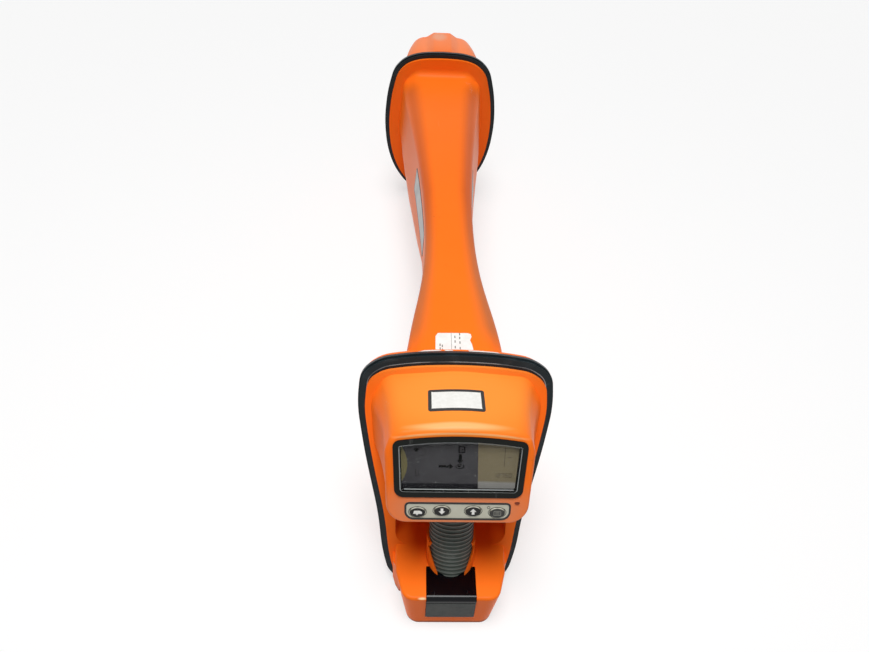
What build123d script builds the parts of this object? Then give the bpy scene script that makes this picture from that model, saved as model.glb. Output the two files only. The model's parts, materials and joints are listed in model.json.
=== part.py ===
from build123d import *
from math import cos, radians, sin, tan
import os

# Walkover locator lying on its base. X is to the right, Y runs forward along the body, Z is up.
# The floor is Z = 0. All sizes are in millimetres and degrees.

# Driving sizes of the two end rings
rear_tilt = 25.0          # lean of the rear ring, its top goes forward
rear_ring_y = -331.0      # where the middle plane of the rear ring meets the floor
rear_ring_lift = 2.9      # height of the lowest point of the rear ring in its middle plane
rear_ring_height = 212.0
rear_ring_half = 78.6     # half width at the shoulders
rear_foot_half = 57.8     # half width near the bottom
front_ring_y = 293.0
front_ring_height = 214.0
front_ring_half = 78.4

# Bumpers and the flanges that hold them
bumper_width = 10.0       # along the body
bead_width = 4.0
bead_height = 1.5
bumper_proud = 6.0        # from the flange edge to the bead
rear_lip_proud = 2.5      # the same at the body's rear flange, which is wider and thicker
rear_lip_thickness = 7.0
hood_lip_drop = 3.0       # how much lower the hood's lip stays at the crown
bumper_depth = 9.0        # from the bead to the bumper's inner face
lip_thickness = 4.0
seat_gap = 0.1            # between curved faces that are seated on each other

# Walls and general fits
wall = 3.0
running_gap = 0.35        # around every moving piece
pin_gap = 0.05            # radial, pin in its bore

# Neck of the main body
neck_top = 182.0          # height of the upper surface
waist_half = 23.5
waist_floor = 96.0        # height of the underside at the waist
bulkhead_thickness = 3.0
rear_bulkhead_y = -150.0
front_bulkhead_y = 262.0

# Rear housing: hood, pocket and base block
face_out = 66.0           # distance of the display face from the rear ring plane
face_wall = 4.0           # thickness behind the display face
edge_round = 3.0          # depth of the rounded edge round the display face
hood_floor = 122.0        # height of the level underside of the hood
block_top = 43.0
block_end_y = -370.0
block_half = 49.0         # half width beside the ring
block_end_half = 38.5
block_draft = 5.0         # how far the sides of the end draw in towards the floor
block_rim = 2.5           # rounding of its upper edge
step_length = 24.0        # from the end to the shoulder
pocket_half = 46.5
pocket_depth = 38.0       # from the rear ring plane forward
grip_out = 18.0           # distance of the grip axis from the rear ring plane
collar_height = 21.0
collar_wall = 1.8
collar_notch_top = 43.0   # width of the notch towards the user
collar_notch_foot = 21.0

# Front cap
cap_length = 68.5
cap_top = 207.0
rib_height = 6.5
rib_half = 15.5

# Display and keys, heights measured up the face from the foot of the rear ring
bezel_half = 48.8
bezel_foot = 123.3
bezel_crown = 172.8
bezel_arch = 278.0          # radius of its upper edge
bezel_slope = 8.9           # how far that edge has turned down at its ends
bezel_rim = 4.0
bezel_thickness = 3.0
bezel_proud = 0.8
lcd_thickness = 2.2
backlight_thickness = 2.6
board_thickness = 1.6
keypad_half = 39.2
keypad_foot = 104.0
keypad_height = 14.8
keypad_thickness = 1.6
key_width = 11.0
key_height = 7.8
key_rise = 1.0
key_travel = 0.7
key_flange = 0.9
key_places = (-29.6, -11.7, 11.4, 29.3)
key_drop = 1.4              # the outer keys lie lower than the inner ones
key_names = ("menu_key", "down_key", "up_key", "power_key")
lamp_diameter = 4.0
lamp_place = (43.6, 118.8)

# Grip and trigger
grip_diameter = 36.6
grip_foot_gap = 1.2         # the sleeve stops short of the base block, above the battery nose
core_diameter = 28.0
core_bore = 20.0
rib_pitch = 3.7
rib_groove = 0.9            # radius of the grooves between the ribs
trigger_width = 12.0
trigger_pivot = (grip_out - 8, 122.0)   # distance out from the ring plane, height up it
pin_diameter = 3.0

# Battery pack and its bay
pack_half = 19.6
pack_floor = 16.1
pack_top = 37.1
pack_front_y = -296.0
nose_half = 20.0
nose_floor = 12.0
nose_depth = 27.5
case_wall = 1.6
cell_diameter = 17.8
cell_length = 65.0
liner_wall = 1.8

# Boards, antennas and screws
main_board_size = (34.0, 112.0)
main_board_y = -84.0
main_board_z = 150.0
rod_diameter = 9.0
rod_length = 58.0
rod_offset = 8.0
frame_half = 15.0
winding_diameter = 14.0
winding_length = 11.0
rear_antenna_z = 102.0
front_antenna_z = 112.0
harness_diameter = 5.0
lead_diameter = 2.4
lead_hole_z = 150.0
screw_diameter = 4.0
screw_head = 7.0
small_screw = 2.5
small_head = 4.6

# Where the sides of the bezel's arch meet each other, and its corners
bezel_apex = bezel_crown + bezel_arch * (1 / cos(radians(bezel_slope)) - 1)
bezel_corner = bezel_apex - bezel_half * tan(radians(bezel_slope))

# Frames of reference
lean = radians(rear_tilt)
lip_out = bumper_width / 2 + lip_thickness
rear_lip_out = bumper_width / 2 + rear_lip_thickness
rear = Plane(origin=(0, rear_ring_y, rear_ring_lift), x_dir=(1, 0, 0), z_dir=(0, -cos(lean), sin(lean)))
front = Plane(origin=(0, front_ring_y, 0), x_dir=(1, 0, 0), z_dir=(0, -1, 0))


def up_face(height, out):
    """Distance up the rear ring plane of a level height, at a distance out from that plane."""
    return (height - rear_ring_lift - out * sin(lean)) / cos(lean)


def level(out, up):
    """Global Y and Z of a point given in the rear frame."""
    return (
        rear_ring_y + up * sin(lean) - out * cos(lean),
        rear_ring_lift + up * cos(lean) + out * sin(lean),
    )


# Outlines with rounded corners
def whole_loop(corners):
    """Right half from top to bottom, completed with its mirror image."""
    return list(corners) + [(-x, y, r) for x, y, r in reversed(corners) if x > 0]


def corner_rays(loop, i):
    here = Vector(loop[i][0], loop[i][1])
    before = Vector(*loop[i - 1][:2]) - here
    after = Vector(*loop[(i + 1) % len(loop)][:2]) - here
    return here, before.normalized(), after.normalized()


def inset_loop(loop, depth):
    """The same rounded polygon with every side moved inward."""
    moved = []
    for i, (_, _, r) in enumerate(loop):
        here, before, after = corner_rays(loop, i)
        half = radians(before.get_angle(after)) / 2
        turn = -before.X * after.Y + before.Y * after.X
        side = 1 if turn < 0 else -1
        spot = here + (before + after).normalized() * (side * depth / sin(half))
        moved.append((spot.X, spot.Y, max(r - side * depth, 0.5)))
    return moved


def rounded(corners, inset=0.0):
    """Face bounded by straight sides and tangent corner arcs."""
    loop = inset_loop(whole_loop(corners), inset)
    arcs = []
    for i, (_, _, r) in enumerate(loop):
        here, before, after = corner_rays(loop, i)
        half = radians(before.get_angle(after)) / 2
        reach = r / tan(half)
        middle = here + (before + after).normalized() * (r / sin(half) - r)
        arcs.append((here + before * reach, middle, here + after * reach))
    edges = []
    for i, (start, middle, stop) in enumerate(arcs):
        edges.append(ThreePointArc(start, middle, stop))
        edges.append(Line(stop, arcs[(i + 1) % len(arcs)][0]))
    return make_face(edges)


def shift(plane, distance):
    return plane.offset(distance)


def plate(plane, face, start, stop):
    """Face pushed along the normal of a plane from one offset to another."""
    return extrude(shift(plane, start) * face, amount=stop - start)


def block(x0, x1, y0, y1, z0, z1):
    middle = ((x0 + x1) / 2, (y0 + y1) / 2, (z0 + z1) / 2)
    return Pos(*middle) * Box(abs(x1 - x0), abs(y1 - y0), abs(z1 - z0))


def rod(start, stop, diameter):
    """Round bar between two points."""
    start = Vector(*start)
    stop = Vector(*stop)
    return Plane(origin=start, z_dir=stop - start) * Cylinder(
        diameter / 2, (stop - start).length, align=(Align.CENTER, Align.CENTER, Align.MIN)
    )


def cross_rod(plane, x0, x1, up, out, diameter):
    """Round bar along X, placed in a tilted frame."""
    bar = Cylinder(diameter / 2, x1 - x0, align=(Align.CENTER, Align.CENTER, Align.MIN))
    return plane * (Pos(x0, up, out) * (Rot(0, 90, 0) * bar))


def eased(points):
    """Half outline with corner arcs as large as its sides allow, a short straight left between them."""
    loop = whole_loop([(x, y, 0.0) for x, y in points])
    corners = []
    for i, (x, y) in enumerate(points):
        here, before, after = corner_rays(loop, i)
        beside = (loop[i - 1], loop[(i + 1) % len(loop)])
        shortest = min((Vector(*corner[:2]) - here).length for corner in beside)
        half = radians(before.get_angle(after)) / 2
        corners.append((x, y, 0.47 * shortest * tan(half)))
    return corners


rear_ring = eased([
    (0, rear_ring_height),
    (rear_ring_half - 44.6, rear_ring_height - 1.4),
    (rear_ring_half - 17.6, rear_ring_height - 5.6),
    (rear_ring_half - 2.6, rear_ring_height - 17),
    (rear_ring_half, rear_ring_height - 45),
    (rear_ring_half - 5.8, rear_ring_height - 87),
    (rear_foot_half + 3.2, 65),
    (rear_foot_half, 30),
    (rear_foot_half - 7.8, 0),
])
front_ring = eased([
    (0, front_ring_height),
    (front_ring_half - 48.4, front_ring_height - 1.6),
    (front_ring_half - 28.4, front_ring_height - 8),
    (front_ring_half - 13.4, front_ring_height - 23),
    (front_ring_half - 4.4, front_ring_height - 56),
    (front_ring_half, front_ring_height - 97),
    (front_ring_half - 3.4, 75),
    (front_ring_half - 13.4, 42),
    (front_ring_half - 32.4, 14),
    (front_ring_half - 56.4, 0),
])


# Main body
def neck_outline(half, top, slope, belly, keel):
    """Flat top with sloping shoulders, widest at the belly and narrower at the keel."""
    return [(half - slope, top, slope), (half + 0.1 * slope, top - 0.8 * slope, slope), belly, keel]


def neck_sections():
    """Planes and outlines of the body at even steps from the rear flange to the front flange."""
    rear_root = neck_outline(
        rear_ring_half - 39.6, rear_ring_height - 13, 9.0,
        (rear_ring_half - 15.6, rear_ring_height - 86, 45), (rear_foot_half - 11.8, 9, 24),
    )
    front_root = neck_outline(
        front_ring_half - 27.4, front_ring_height - 28, 14.0,
        (front_ring_half - 20.4, 110, 40), (front_ring_half - 34.4, 22, 26),
    )
    stations = (
        (-238, 18, 10.5, 9.0, (21.0, 92, 30), (14.5, 14, 22)),
        (-156, 12, 2.3, 7.5, (5.5, 114, 20), (0.0, 76, 14)),
        (-75, 6, 0.0, 7.0, (2.0, 128, 20), (-3.5, waist_floor, 13)),
        (0, 3, 1.7, 7.5, (6.5, 118, 22), (0.5, 80, 14)),
        (75, 0, 6.0, 9.0, (13.0, 106, 26), (6.0, 58, 17)),
        (145, 0, 12.5, 11.0, (20.5, 105, 30), (11.5, 42, 19)),
        (214, 0, 20.0, 13.0, (28.0, 107, 36), (17.5, 30, 22)),
    )
    sections = [(shift(rear, -rear_lip_out), rear_root)]
    for y, tilt, spread, slope, belly, keel in stations:
        top = neck_top / cos(radians(tilt))
        sides = [(waist_half + wide, height, r) for wide, height, r in (belly, keel)]
        sections.append((tilted(y, tilt), neck_outline(waist_half + spread, top, slope, *sides)))
    sections.append((shift(front, lip_out), front_root))
    return sections


def tilted(y, tilt):
    """Cross plane that meets the floor at y and leans forward by a tilt."""
    turn = radians(tilt)
    return Plane(origin=(0, y, 0), x_dir=(1, 0, 0), z_dir=(0, -cos(turn), sin(turn)))


def open_sides(solid, *planes):
    """Faces of a solid without the ones that lie in the given planes."""
    kept = []
    for face in solid.faces():
        corners = [vertex.center() for vertex in face.vertices()]
        if not any(all(abs(plane.to_local_coords(spot).Z) < 1e-4 for spot in corners) for plane in planes):
            kept.append(face)
    return kept


def ring_face(plane, outer, inner):
    """Flat face in a plane between two outlines."""
    hole = (plane * inner).faces()[0].outer_wire()
    return Face((plane * outer).faces()[0].outer_wire(), [hole])


def spigot_outline(ring):
    return rounded(ring, bumper_depth + seat_gap)


def flange(plane, ring, sign, drop):
    """Spigot inside the bumper and the lip beside it, lower at the crown, on one side of the ring plane."""
    half = sign * bumper_width / 2
    lip_face = rounded(ring, bumper_proud)
    lip_face = lip_face & (Pos(0, -drop) * lip_face)
    lip = plate(plane, lip_face, half, sign * lip_out)
    return plate(plane, spigot_outline(ring), 0, half) + lip


def flange_skin(plane, ring, section, proud, reach):
    """Faces of such a flange where it opens into a hollow body. The reach is signed for the body's side."""
    spigot = spigot_outline(ring)
    lip = rounded(ring, proud)
    mouth = rounded(section, wall)
    half = bumper_width / 2 if reach > 0 else -bumper_width / 2
    step = shift(plane, half)
    root = shift(plane, reach)
    skin = [ring_face(root, lip, rounded(section))]
    skin += [ring_face(step, lip, spigot), ring_face(plane, spigot, mouth)]
    skin += open_sides(plate(plane, lip, half, reach), step, root)
    skin += open_sides(plate(plane, spigot, 0, half), plane, step)
    skin += open_sides(plate(plane, mouth, 0, reach), plane, root)
    return skin


def body_hollow(inset):
    return loft([plane * rounded(corners, inset) for plane, corners in neck_sections()])


def make_main_body():
    sections = neck_sections()
    ends = (sections[0][0], sections[-1][0])
    skin = open_sides(body_hollow(0.0), *ends) + open_sides(body_hollow(wall), *ends)
    skin += flange_skin(rear, rear_ring, sections[0][1], rear_lip_proud, -rear_lip_out)
    skin += flange_skin(front, front_ring, sections[-1][1], bumper_proud, lip_out)
    cuts = []
    for x, up in rear_screw_places():
        cuts.append(plate(rear, Pos(x, up) * Circle(screw_diameter / 2 + seat_gap), -rear_lip_out - 1, 1))
    for x, up in front_screw_places():
        cuts.append(plate(front, Pos(x, up) * Circle(screw_diameter / 2 + seat_gap), -1, 8))
    return Solid(Shell(skin)) - cuts


def rear_screw_places():
    places = ((rear_ring_half - 18.4, rear_ring_height - 23), (rear_ring_half - 14.1, rear_ring_height - 62))
    return [(side * x, up) for side in (-1, 1) for x, up in places]


def front_screw_places():
    places = (
        (front_ring_half - 21, front_ring_height - 42),
        (front_ring_half - 14.2, front_ring_height - 104),
        (front_ring_half - 27, 46),
    )
    return [(side * x, up) for side in (-1, 1) for x, up in places]


# Partition plates bonded inside the body
def bulkhead(y):
    slab = block(-90, 90, y, y + bulkhead_thickness, 0, 220)
    return slab & body_hollow(wall + seat_gap)


def antenna_openings(y, z):
    cuts = [rod((0, y - 9, z - rod_offset), (0, y + 12, z - rod_offset), winding_diameter + 2)]
    for x, up in antenna_screw_places():
        stop = (x, y + bulkhead_thickness + 1, z + up)
        cuts.append(rod((x, y - 1, z + up), stop, small_screw + 2 * seat_gap))
    return cuts


def make_bulkheads():
    """Rear plate with the tray that carries the main board, and the front plate."""
    width, length = main_board_size
    back = rear_bulkhead_y + bulkhead_thickness
    tray_top = main_board_z - 3.0
    tray = block(-width / 2, width / 2, back - 1, main_board_y + length / 2, tray_top - 2.5, tray_top)
    window = block(-14, 14, rear_bulkhead_y - 5, back + 5, main_board_z + 0.5, main_board_z + 11)
    holes = []
    for x, y in main_board_screw_places():
        tray = tray + Pos(x, y, tray_top + 1.5) * Cylinder(2.6, 3.0)
        holes.append(Pos(x, y, tray_top) * Cylinder(small_screw / 2 + seat_gap, 12))
    rear_plate = bulkhead(rear_bulkhead_y) + tray
    rear_plate = rear_plate - holes - [window] - antenna_openings(rear_bulkhead_y, rear_antenna_z)
    lead_start = (0, front_bulkhead_y - 5, lead_hole_z)
    lead = rod(lead_start, (0, front_bulkhead_y + 9, lead_hole_z), harness_diameter + 3)
    front_plate = bulkhead(front_bulkhead_y) - [lead] - antenna_openings(front_bulkhead_y, front_antenna_z)
    return {"rear_bulkhead": rear_plate, "front_bulkhead": front_plate}


# Bumpers
def make_bumper(plane, ring):
    half = bumper_width / 2
    inner = rounded(ring, bumper_depth)
    band = plate(plane, rounded(ring, bead_height), -half, half)
    bead = plate(plane, rounded(ring), -bead_width / 2, bead_width / 2)
    return band + bead - plate(plane, inner, -half, half)


# Rear housing
def between(first, second, across, upward):
    """Outline a share of the way from one outline to another, with its own share for each direction."""
    mixed = []
    for (x0, y0, r0), (x1, y1, r1) in zip(first, second):
        mixed.append((x0 + across * (x1 - x0), y0 + upward * (y1 - y0), (r0 + r1) / 2))
    return mixed


def hood_sections():
    """Outlines of the hood from the flange to the start of the rounded front edge."""
    root = [
        (0, rear_ring_height - 12.5, 150),
        (rear_ring_half - 22.6, rear_ring_height - 17, 15),
        (rear_ring_half - 11, rear_ring_height - 38, 26),
        (rear_ring_half - 14.6, up_face(hood_floor, lip_out), 13),
    ]
    edge = face_out - edge_round
    end = [
        (0, bezel_crown + 8.2, 120),
        (bezel_half + 0.4, bezel_corner + 7.2, 14),
        (bezel_half + 5.9, bezel_corner - 9.6, 18),
        (bezel_half + 3.7, up_face(hood_floor, edge), 15),
    ]
    half_way = (lip_out + edge) / 2
    middle = between(root, end, 0.74, 0.46)
    middle[-1] = (middle[-1][0], up_face(hood_floor, half_way), 13)
    return [(lip_out, root), (half_way, middle), (edge, end)]


def face_sections():
    """Outlines of the rounded edge between the hood and the flat display face."""
    foot = up_face(hood_floor, face_out)
    soft = [
        (0, bezel_crown + 6.4, 120),
        (bezel_half - 0.6, bezel_corner + 5.8, 13),
        (bezel_half + 4.8, bezel_corner - 10.0, 17),
        (bezel_half + 3.1, foot + 0.7, 14.5),
    ]
    flat = [
        (0, bezel_crown + 4.0, 120),
        (bezel_half - 1.8, bezel_corner + 3.8, 12),
        (bezel_half + 3.2, bezel_corner - 10.6, 16),
        (bezel_half + 2.1, foot + 1.6, 14),
    ]
    return [hood_sections()[-1], (face_out - edge_round / 3, soft), (face_out, flat)]


def pocket_face(out, half, top, inset=0.0):
    return rounded([(half, up_face(top, out), 12), (half, up_face(block_top, out), 12)], inset)


def pocket_shape(inset, start, stop):
    mouth = shift(rear, start) * pocket_face(start, pocket_half, hood_floor, inset)
    deep = shift(rear, stop) * pocket_face(stop, pocket_half - 8.5, hood_floor - 10, inset)
    return loft([mouth, deep])


def block_outline(shrink):
    """Base block in plan, drawn in at the sides, with a rounded rear end."""
    root = rear_ring_y + 22
    side = block_half - 2 - shrink
    end = block_end_half - shrink
    step = block_end_y + step_length
    outline = make_face(Polyline(
        (-side, root), (-side + 1.5, step), (-end, block_end_y),
        (end, block_end_y), (side - 1.5, step), (side, root), close=True,
    ))
    corners = outline.vertices().sort_by(Axis.Y)
    return fillet(corners[:4], 11)


def base_block():
    """Block under the grip with drafted sides, on a wider foot beside the ring."""
    root = rear_ring_y + 22
    step = block_end_y + step_length
    solid = loft([block_outline(block_draft), Pos(0, 0, block_top) * block_outline(0.0)])
    rims = solid.edges().group_by(Axis.Z)[-1].filter_by(lambda edge: edge.center().Y < root - 1)
    solid = fillet(rims, block_rim)
    foot = extrude(make_face(Polyline(
        (-block_half, root), (-block_half + 1, step + 12), (-block_half + 6.5, step + 3),
        (block_half - 6.5, step + 3), (block_half - 1, step + 12), (block_half, root), close=True,
    )), amount=block_top - 7)
    behind = plate(rear, Rectangle(400, 600), -200, bumper_width / 2)
    return solid + foot - behind


def cut_level(solid, start, stop):
    """Part of a solid between two heights."""
    return solid & block(-100, 100, -500, 0, start, stop)


def grip_axis_solid(diameter, start, stop):
    """Round post along the grip axis, cut level at two heights."""
    return cut_level(shift(rear, grip_out) * (Rot(-90, 0, 0) * Cylinder(diameter / 2, 400)), start, stop)


def ribbed_sleeve(start, stop):
    """Sleeve with fine grooves round it, drawn as half a section and turned about the grip axis."""
    low = up_face(start, grip_out) - grip_diameter / 2
    length = up_face(stop, grip_out) + grip_diameter / 2 - low
    radius = grip_diameter / 2
    section = Pos(radius / 2, low + length / 2) * Rectangle(radius, length)
    grooves = []
    for i in range(1, int(length / rib_pitch)):
        grooves.append(Pos(radius + 0.2, low + i * rib_pitch) * Circle(rib_groove))
    section = section - grooves
    return cut_level(shift(rear, grip_out) * revolve(section, Axis.Y), start, stop)


def make_rear_housing():
    hood = loft([shift(rear, out) * rounded(corners) for out, corners in hood_sections()])
    rim = loft([shift(rear, out) * rounded(corners) for out, corners in face_sections()])
    root, middle, end = hood_sections()
    insides = (root, middle, (face_out - face_wall, end[1]))
    hollow = loft([shift(rear, out) * rounded(corners, wall) for out, corners in insides])
    mouth = plate(rear, rounded(root[1], wall), -1, lip_out)
    shell = flange(rear, rear_ring, 1, hood_lip_drop) + hood + rim + base_block()
    pocket_wall = pocket_shape(-wall, lip_out - 0.5, -pocket_depth - wall)
    shell = shell + pocket_wall - hollow - mouth
    shell = shell - pocket_shape(0.0, lip_out + 0.6, -pocket_depth)
    collar = grip_axis_solid(grip_diameter + 2 * collar_wall, block_top - 4, block_top + collar_height)
    notch_y = level(grip_out, up_face(block_top, grip_out))[0]
    notch_foot = Pos(0, notch_y - 30, block_top) * Rectangle(collar_notch_foot, 60)
    notch_top = Pos(0, notch_y - 30, block_top + collar_height) * Rectangle(collar_notch_top, 60)
    notch = loft([notch_foot, notch_top])
    shell = shell + (collar - notch)
    shell = shell - grip_axis_solid(grip_diameter + 2 * seat_gap, block_top, hood_floor)
    shell = shell - display_cuts() - bay_cuts()
    wire_way = grip_axis_solid(core_bore, hood_floor - 4, hood_floor + wall + 8)
    shell = shell - wire_way
    for x, up in rear_screw_places():
        bore = Pos(x, up, 3.0) * Cylinder(screw_diameter / 2 + seat_gap, 8.0)
        shell = shell - rear * bore
    for x, up in board_screw_places():
        post = plate(rear, Pos(x, up) * Circle(2.8), board_back() + board_thickness, face_out - 2.5)
        bore = Pos(x, up) * Circle(small_screw / 2 + seat_gap)
        shell = shell + post - plate(rear, bore, board_back() - 2, board_back() + 7)
    return shell


def display_cuts():
    bezel_seat = face_out - (bezel_thickness - bezel_proud)
    seat = plate(rear, rounded(bezel_corners(), -seat_gap), bezel_seat, face_out + 1)
    through = plate(rear, rounded(bezel_corners(), bezel_rim - 1), face_out - 12, face_out)
    panel = plate(rear, keypad_outline(seat_gap), face_out - keypad_thickness, face_out + 1)
    keys = plate(rear, key_ovals(1.6), face_out - 12, face_out)
    lamp = plate(rear, Pos(*lamp_place) * Circle(lamp_diameter / 2 + seat_gap), face_out - 12, face_out + 1)
    return seat + through + panel + keys + lamp


def bezel_corners():
    return [(0, bezel_apex, bezel_arch), (bezel_half, bezel_corner, 5.4), (bezel_half - 2.0, bezel_foot, 7)]


def keypad_outline(grow):
    corners = [(keypad_half, keypad_foot + keypad_height, 3.5), (keypad_half, keypad_foot, 7.0)]
    return rounded(corners, -grow)


def oval(grow):
    width = key_width + 2 * grow
    height = key_height + 2 * grow
    return SlotOverall(width, height)


def key_spots():
    centre = keypad_foot + keypad_height / 2
    return [(x, centre + key_drop * (0.4 - (x / key_places[-1]) ** 2)) for x in key_places]


def key_ovals(grow):
    spots = key_spots()
    ovals = Pos(*spots[0]) * oval(grow)
    for spot in spots[1:]:
        ovals = ovals + Pos(*spot) * oval(grow)
    return ovals


def bay_cuts():
    gap = seat_gap
    liner = block(
        -pack_half - running_gap - liner_wall - gap, pack_half + running_gap + liner_wall + gap,
        block_end_y + 8, pack_front_y + 9,
        pack_floor - running_gap - liner_wall - gap, pack_top + running_gap + liner_wall + gap,
    )
    nose = block(
        -nose_half - running_gap, nose_half + running_gap,
        block_end_y - 5, block_end_y + nose_depth + running_gap,
        nose_floor - running_gap, block_top + 1,
    )
    return liner + nose


def cap_outline(half, top, belly, keel):
    """Cross section of the cap, with a broad rib along its crown."""
    rib = [(rib_half - 4, top + rib_height, 6), (rib_half + 6, top, 10)]
    return rib + [(half, top - 1, 20), belly, keel]


def make_front_cap():
    root = -lip_out
    middle = -lip_out - cap_length / 2 + 2
    shoulder = -lip_out - cap_length + 7
    tip = -lip_out - cap_length
    half = front_ring_half - 28.4
    side_root = cap_outline(half, cap_top - 2, (half + 9, 112, 44), (half - 6, 20, 26))
    side_middle = cap_outline(half - 3, cap_top, (half + 4, 114, 40), (half - 9, 27, 24))
    side_end = cap_outline(half - 8, cap_top - 1, (half - 4, 118, 34), (half - 16, 40, 20))
    sides = ((root, side_root), (middle, side_middle), (shoulder, side_end))
    dome = loft([shift(front, out) * rounded(corners) for out, corners in sides])
    inside = loft([shift(front, out) * rounded(corners, wall) for out, corners in sides])
    rounds = ((shoulder, 0.0), (tip + 2.0, 2.4), (tip, 7.0))
    nose = loft([shift(front, out) * rounded(side_end, inset) for out, inset in rounds])
    nose_room = plate(front, rounded(side_end, 7.0 + wall), shoulder + 1, tip + wall)
    mouth = plate(front, rounded(side_root, wall), 1, root)
    cap = flange(front, front_ring, -1, 0.5) + [dome, nose] - [inside, nose_room, mouth]
    cuts = []
    for x, up in front_screw_places():
        cuts.append(plate(front, Pos(x, up) * Circle(screw_diameter / 2 + seat_gap), 1, root - 1))
        cuts.append(plate(front, Pos(x, up) * Circle(screw_head / 2 + 0.3), root + 2.6, root - 20))
    return cap - cuts


# Display stack
def board_back():
    """Distance of the display board's inner face from the ring plane."""
    return face_out - 9.2 - board_thickness


def board_screw_places():
    return [(side * x, up) for side in (-1, 1) for x, up in ((20.8, 121.6), (30.0, 171.4))]


def make_display():
    seat = face_out - (bezel_thickness - bezel_proud)
    frame_face = rounded(bezel_corners()) - rounded(bezel_corners(), bezel_rim)
    bezel = plate(rear, frame_face, seat, face_out + bezel_proud)
    window_face = rounded(bezel_corners(), bezel_rim + seat_gap)
    ledge_face = rounded(bezel_corners(), bezel_rim - 0.9) - rounded(bezel_corners(), bezel_rim + 1.6)
    ledge = plate(rear, ledge_face, seat - 1, seat)
    window = plate(rear, window_face, seat, face_out + 0.2)
    lcd_face = rounded(bezel_corners(), bezel_rim - 0.6)
    lcd_top = seat - 1
    lcd = plate(rear, lcd_face, lcd_top - lcd_thickness, lcd_top)
    light_back = lcd_top - lcd_thickness - backlight_thickness
    light = plate(rear, lcd_face, light_back, lcd_top - lcd_thickness)
    board_face = rounded([(43, 174.5, 8), (43, 109.8, 14)])
    for x, up in board_screw_places():
        board_face = board_face - Pos(x, up) * Circle(small_screw / 2 + seat_gap)
    back = board_back()
    board = plate(rear, board_face, back, back + board_thickness)
    chips = plate(rear, Pos(-18, 146) * Rectangle(16, 16), back - 1.4, back)
    chips = chips + plate(rear, Pos(14, 150) * Rectangle(10, 18), back - 2.0, back)
    connector = plate(rear, Pos(0, 128) * Rectangle(22, 6), back - 5.0, back)
    bars = []
    for up in (bezel_corner - 4, bezel_foot + 7):
        bar_face = Pos(0, up) * Rectangle(2 * bezel_half - 18, 4)
        bars.append(plate(rear, bar_face, back + board_thickness, light_back))
    return {
        "display_bezel": bezel + ledge,
        "display_window": window,
        "lcd_panel": lcd,
        "lcd_backlight": light,
        "display_board": board + chips + connector,
        "lcd_spacers": Compound(children=bars),
    }


def make_keys():
    """Keypad panel, four keys with retaining flanges, their switches and the status lamp."""
    panel_face = keypad_outline(0.0) - key_ovals(running_gap)
    panel = plate(rear, panel_face, face_out - keypad_thickness, face_out)
    stem = face_out - keypad_thickness - running_gap
    made = {"keypad_panel": panel}
    switches = []
    for name, spot in zip(key_names, key_spots()):
        cap = plate(rear, Pos(*spot) * oval(0.0), stem, face_out + key_rise)
        cap = fillet(cap.faces().sort_by(Axis((0, 0, 0), tuple(rear.z_dir)))[-1].edges(), 0.6)
        skirt = plate(rear, Pos(*spot) * oval(1.0), stem - key_flange, stem)
        made[name] = cap + skirt
        foot = board_back() + board_thickness
        tip = stem - key_flange - key_travel - running_gap
        button = plate(rear, Pos(*spot) * Circle(2.0), tip - 1.2, tip)
        base = plate(rear, Pos(*spot) * RectangleRounded(6.0, 4.8, 0.8), foot, tip - 1.2)
        switches.append(button + base)
    made["key_switches"] = Compound(children=switches)
    x, up = lamp_place
    lens = plate(rear, Pos(x, up) * Circle(lamp_diameter / 2), face_out - 5, face_out + 0.4)
    lens = fillet(lens.faces().sort_by(Axis((0, 0, 0), tuple(rear.z_dir)))[-1].edges(), 0.5)
    lamp_foot = plate(rear, Pos(x, up) * Circle(lamp_diameter / 2 - 0.6), face_out - 9, face_out - 5)
    made["status_lamp"] = lens + lamp_foot
    sounder = plate(rear, Pos(30, 146) * Circle(7.5), board_back() - 6.5, board_back())
    made["sounder"] = sounder
    return made


# Grip and trigger
def trigger_slot(grow):
    out, up = trigger_pivot
    return plate(rear, Pos(0, up - 13) * Rectangle(trigger_width + 2 * grow, 37), -30, out + 7)


def make_grip():
    ends = (block_top, hood_floor)
    core = grip_axis_solid(core_diameter, *ends)
    core = core - grip_axis_solid(core_bore, block_top + 5, hood_floor + 5)
    core = core - trigger_slot(running_gap)
    out, up = trigger_pivot
    core = core - cross_rod(rear, -30, 30, up, out, pin_diameter + 2 * pin_gap)
    nose_room = block(
        -nose_half - running_gap, nose_half + running_gap,
        block_end_y - 5, block_end_y + nose_depth + running_gap, 0, block_top + grip_foot_gap,
    )
    core = core - nose_room
    sleeve = ribbed_sleeve(block_top + grip_foot_gap, hood_floor)
    sleeve = sleeve - grip_axis_solid(core_diameter + 2 * seat_gap, *ends) - trigger_slot(1.2)
    pin = cross_rod(rear, -9.8, 9.8, up, out, pin_diameter)
    return {"grip_core": core, "grip_sleeve": sleeve, "trigger_pin": pin}


def make_trigger():
    """Finger lever hung on its pin, with a hooked lower end."""
    out, up = trigger_pivot
    side = Plane(origin=rear.origin, x_dir=tuple(rear.z_dir), z_dir=(1, 0, 0))
    sign = 1 if side.y_dir.dot(rear.y_dir) > 0 else -1
    profile = make_face(Polyline(
        (out + 3.6, sign * (up + 2.0)), (out - 1.0, sign * (up + 4.2)), (out - 13.0, sign * (up + 3.4)),
        (out - 15.4, sign * (up - 8.0)), (out - 19.5, sign * (up - 25.0)), (out - 15.0, sign * (up - 27.0)),
        (out - 8.5, sign * (up - 20.0)), (out + 3.6, sign * (up - 5.0)), close=True,
    ))
    profile = fillet(profile.vertices(), 1.6)
    lever = extrude(side * profile, amount=trigger_width / 2, both=True)
    return lever - cross_rod(rear, -20, 20, up, out, pin_diameter + 2 * pin_gap)


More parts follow.
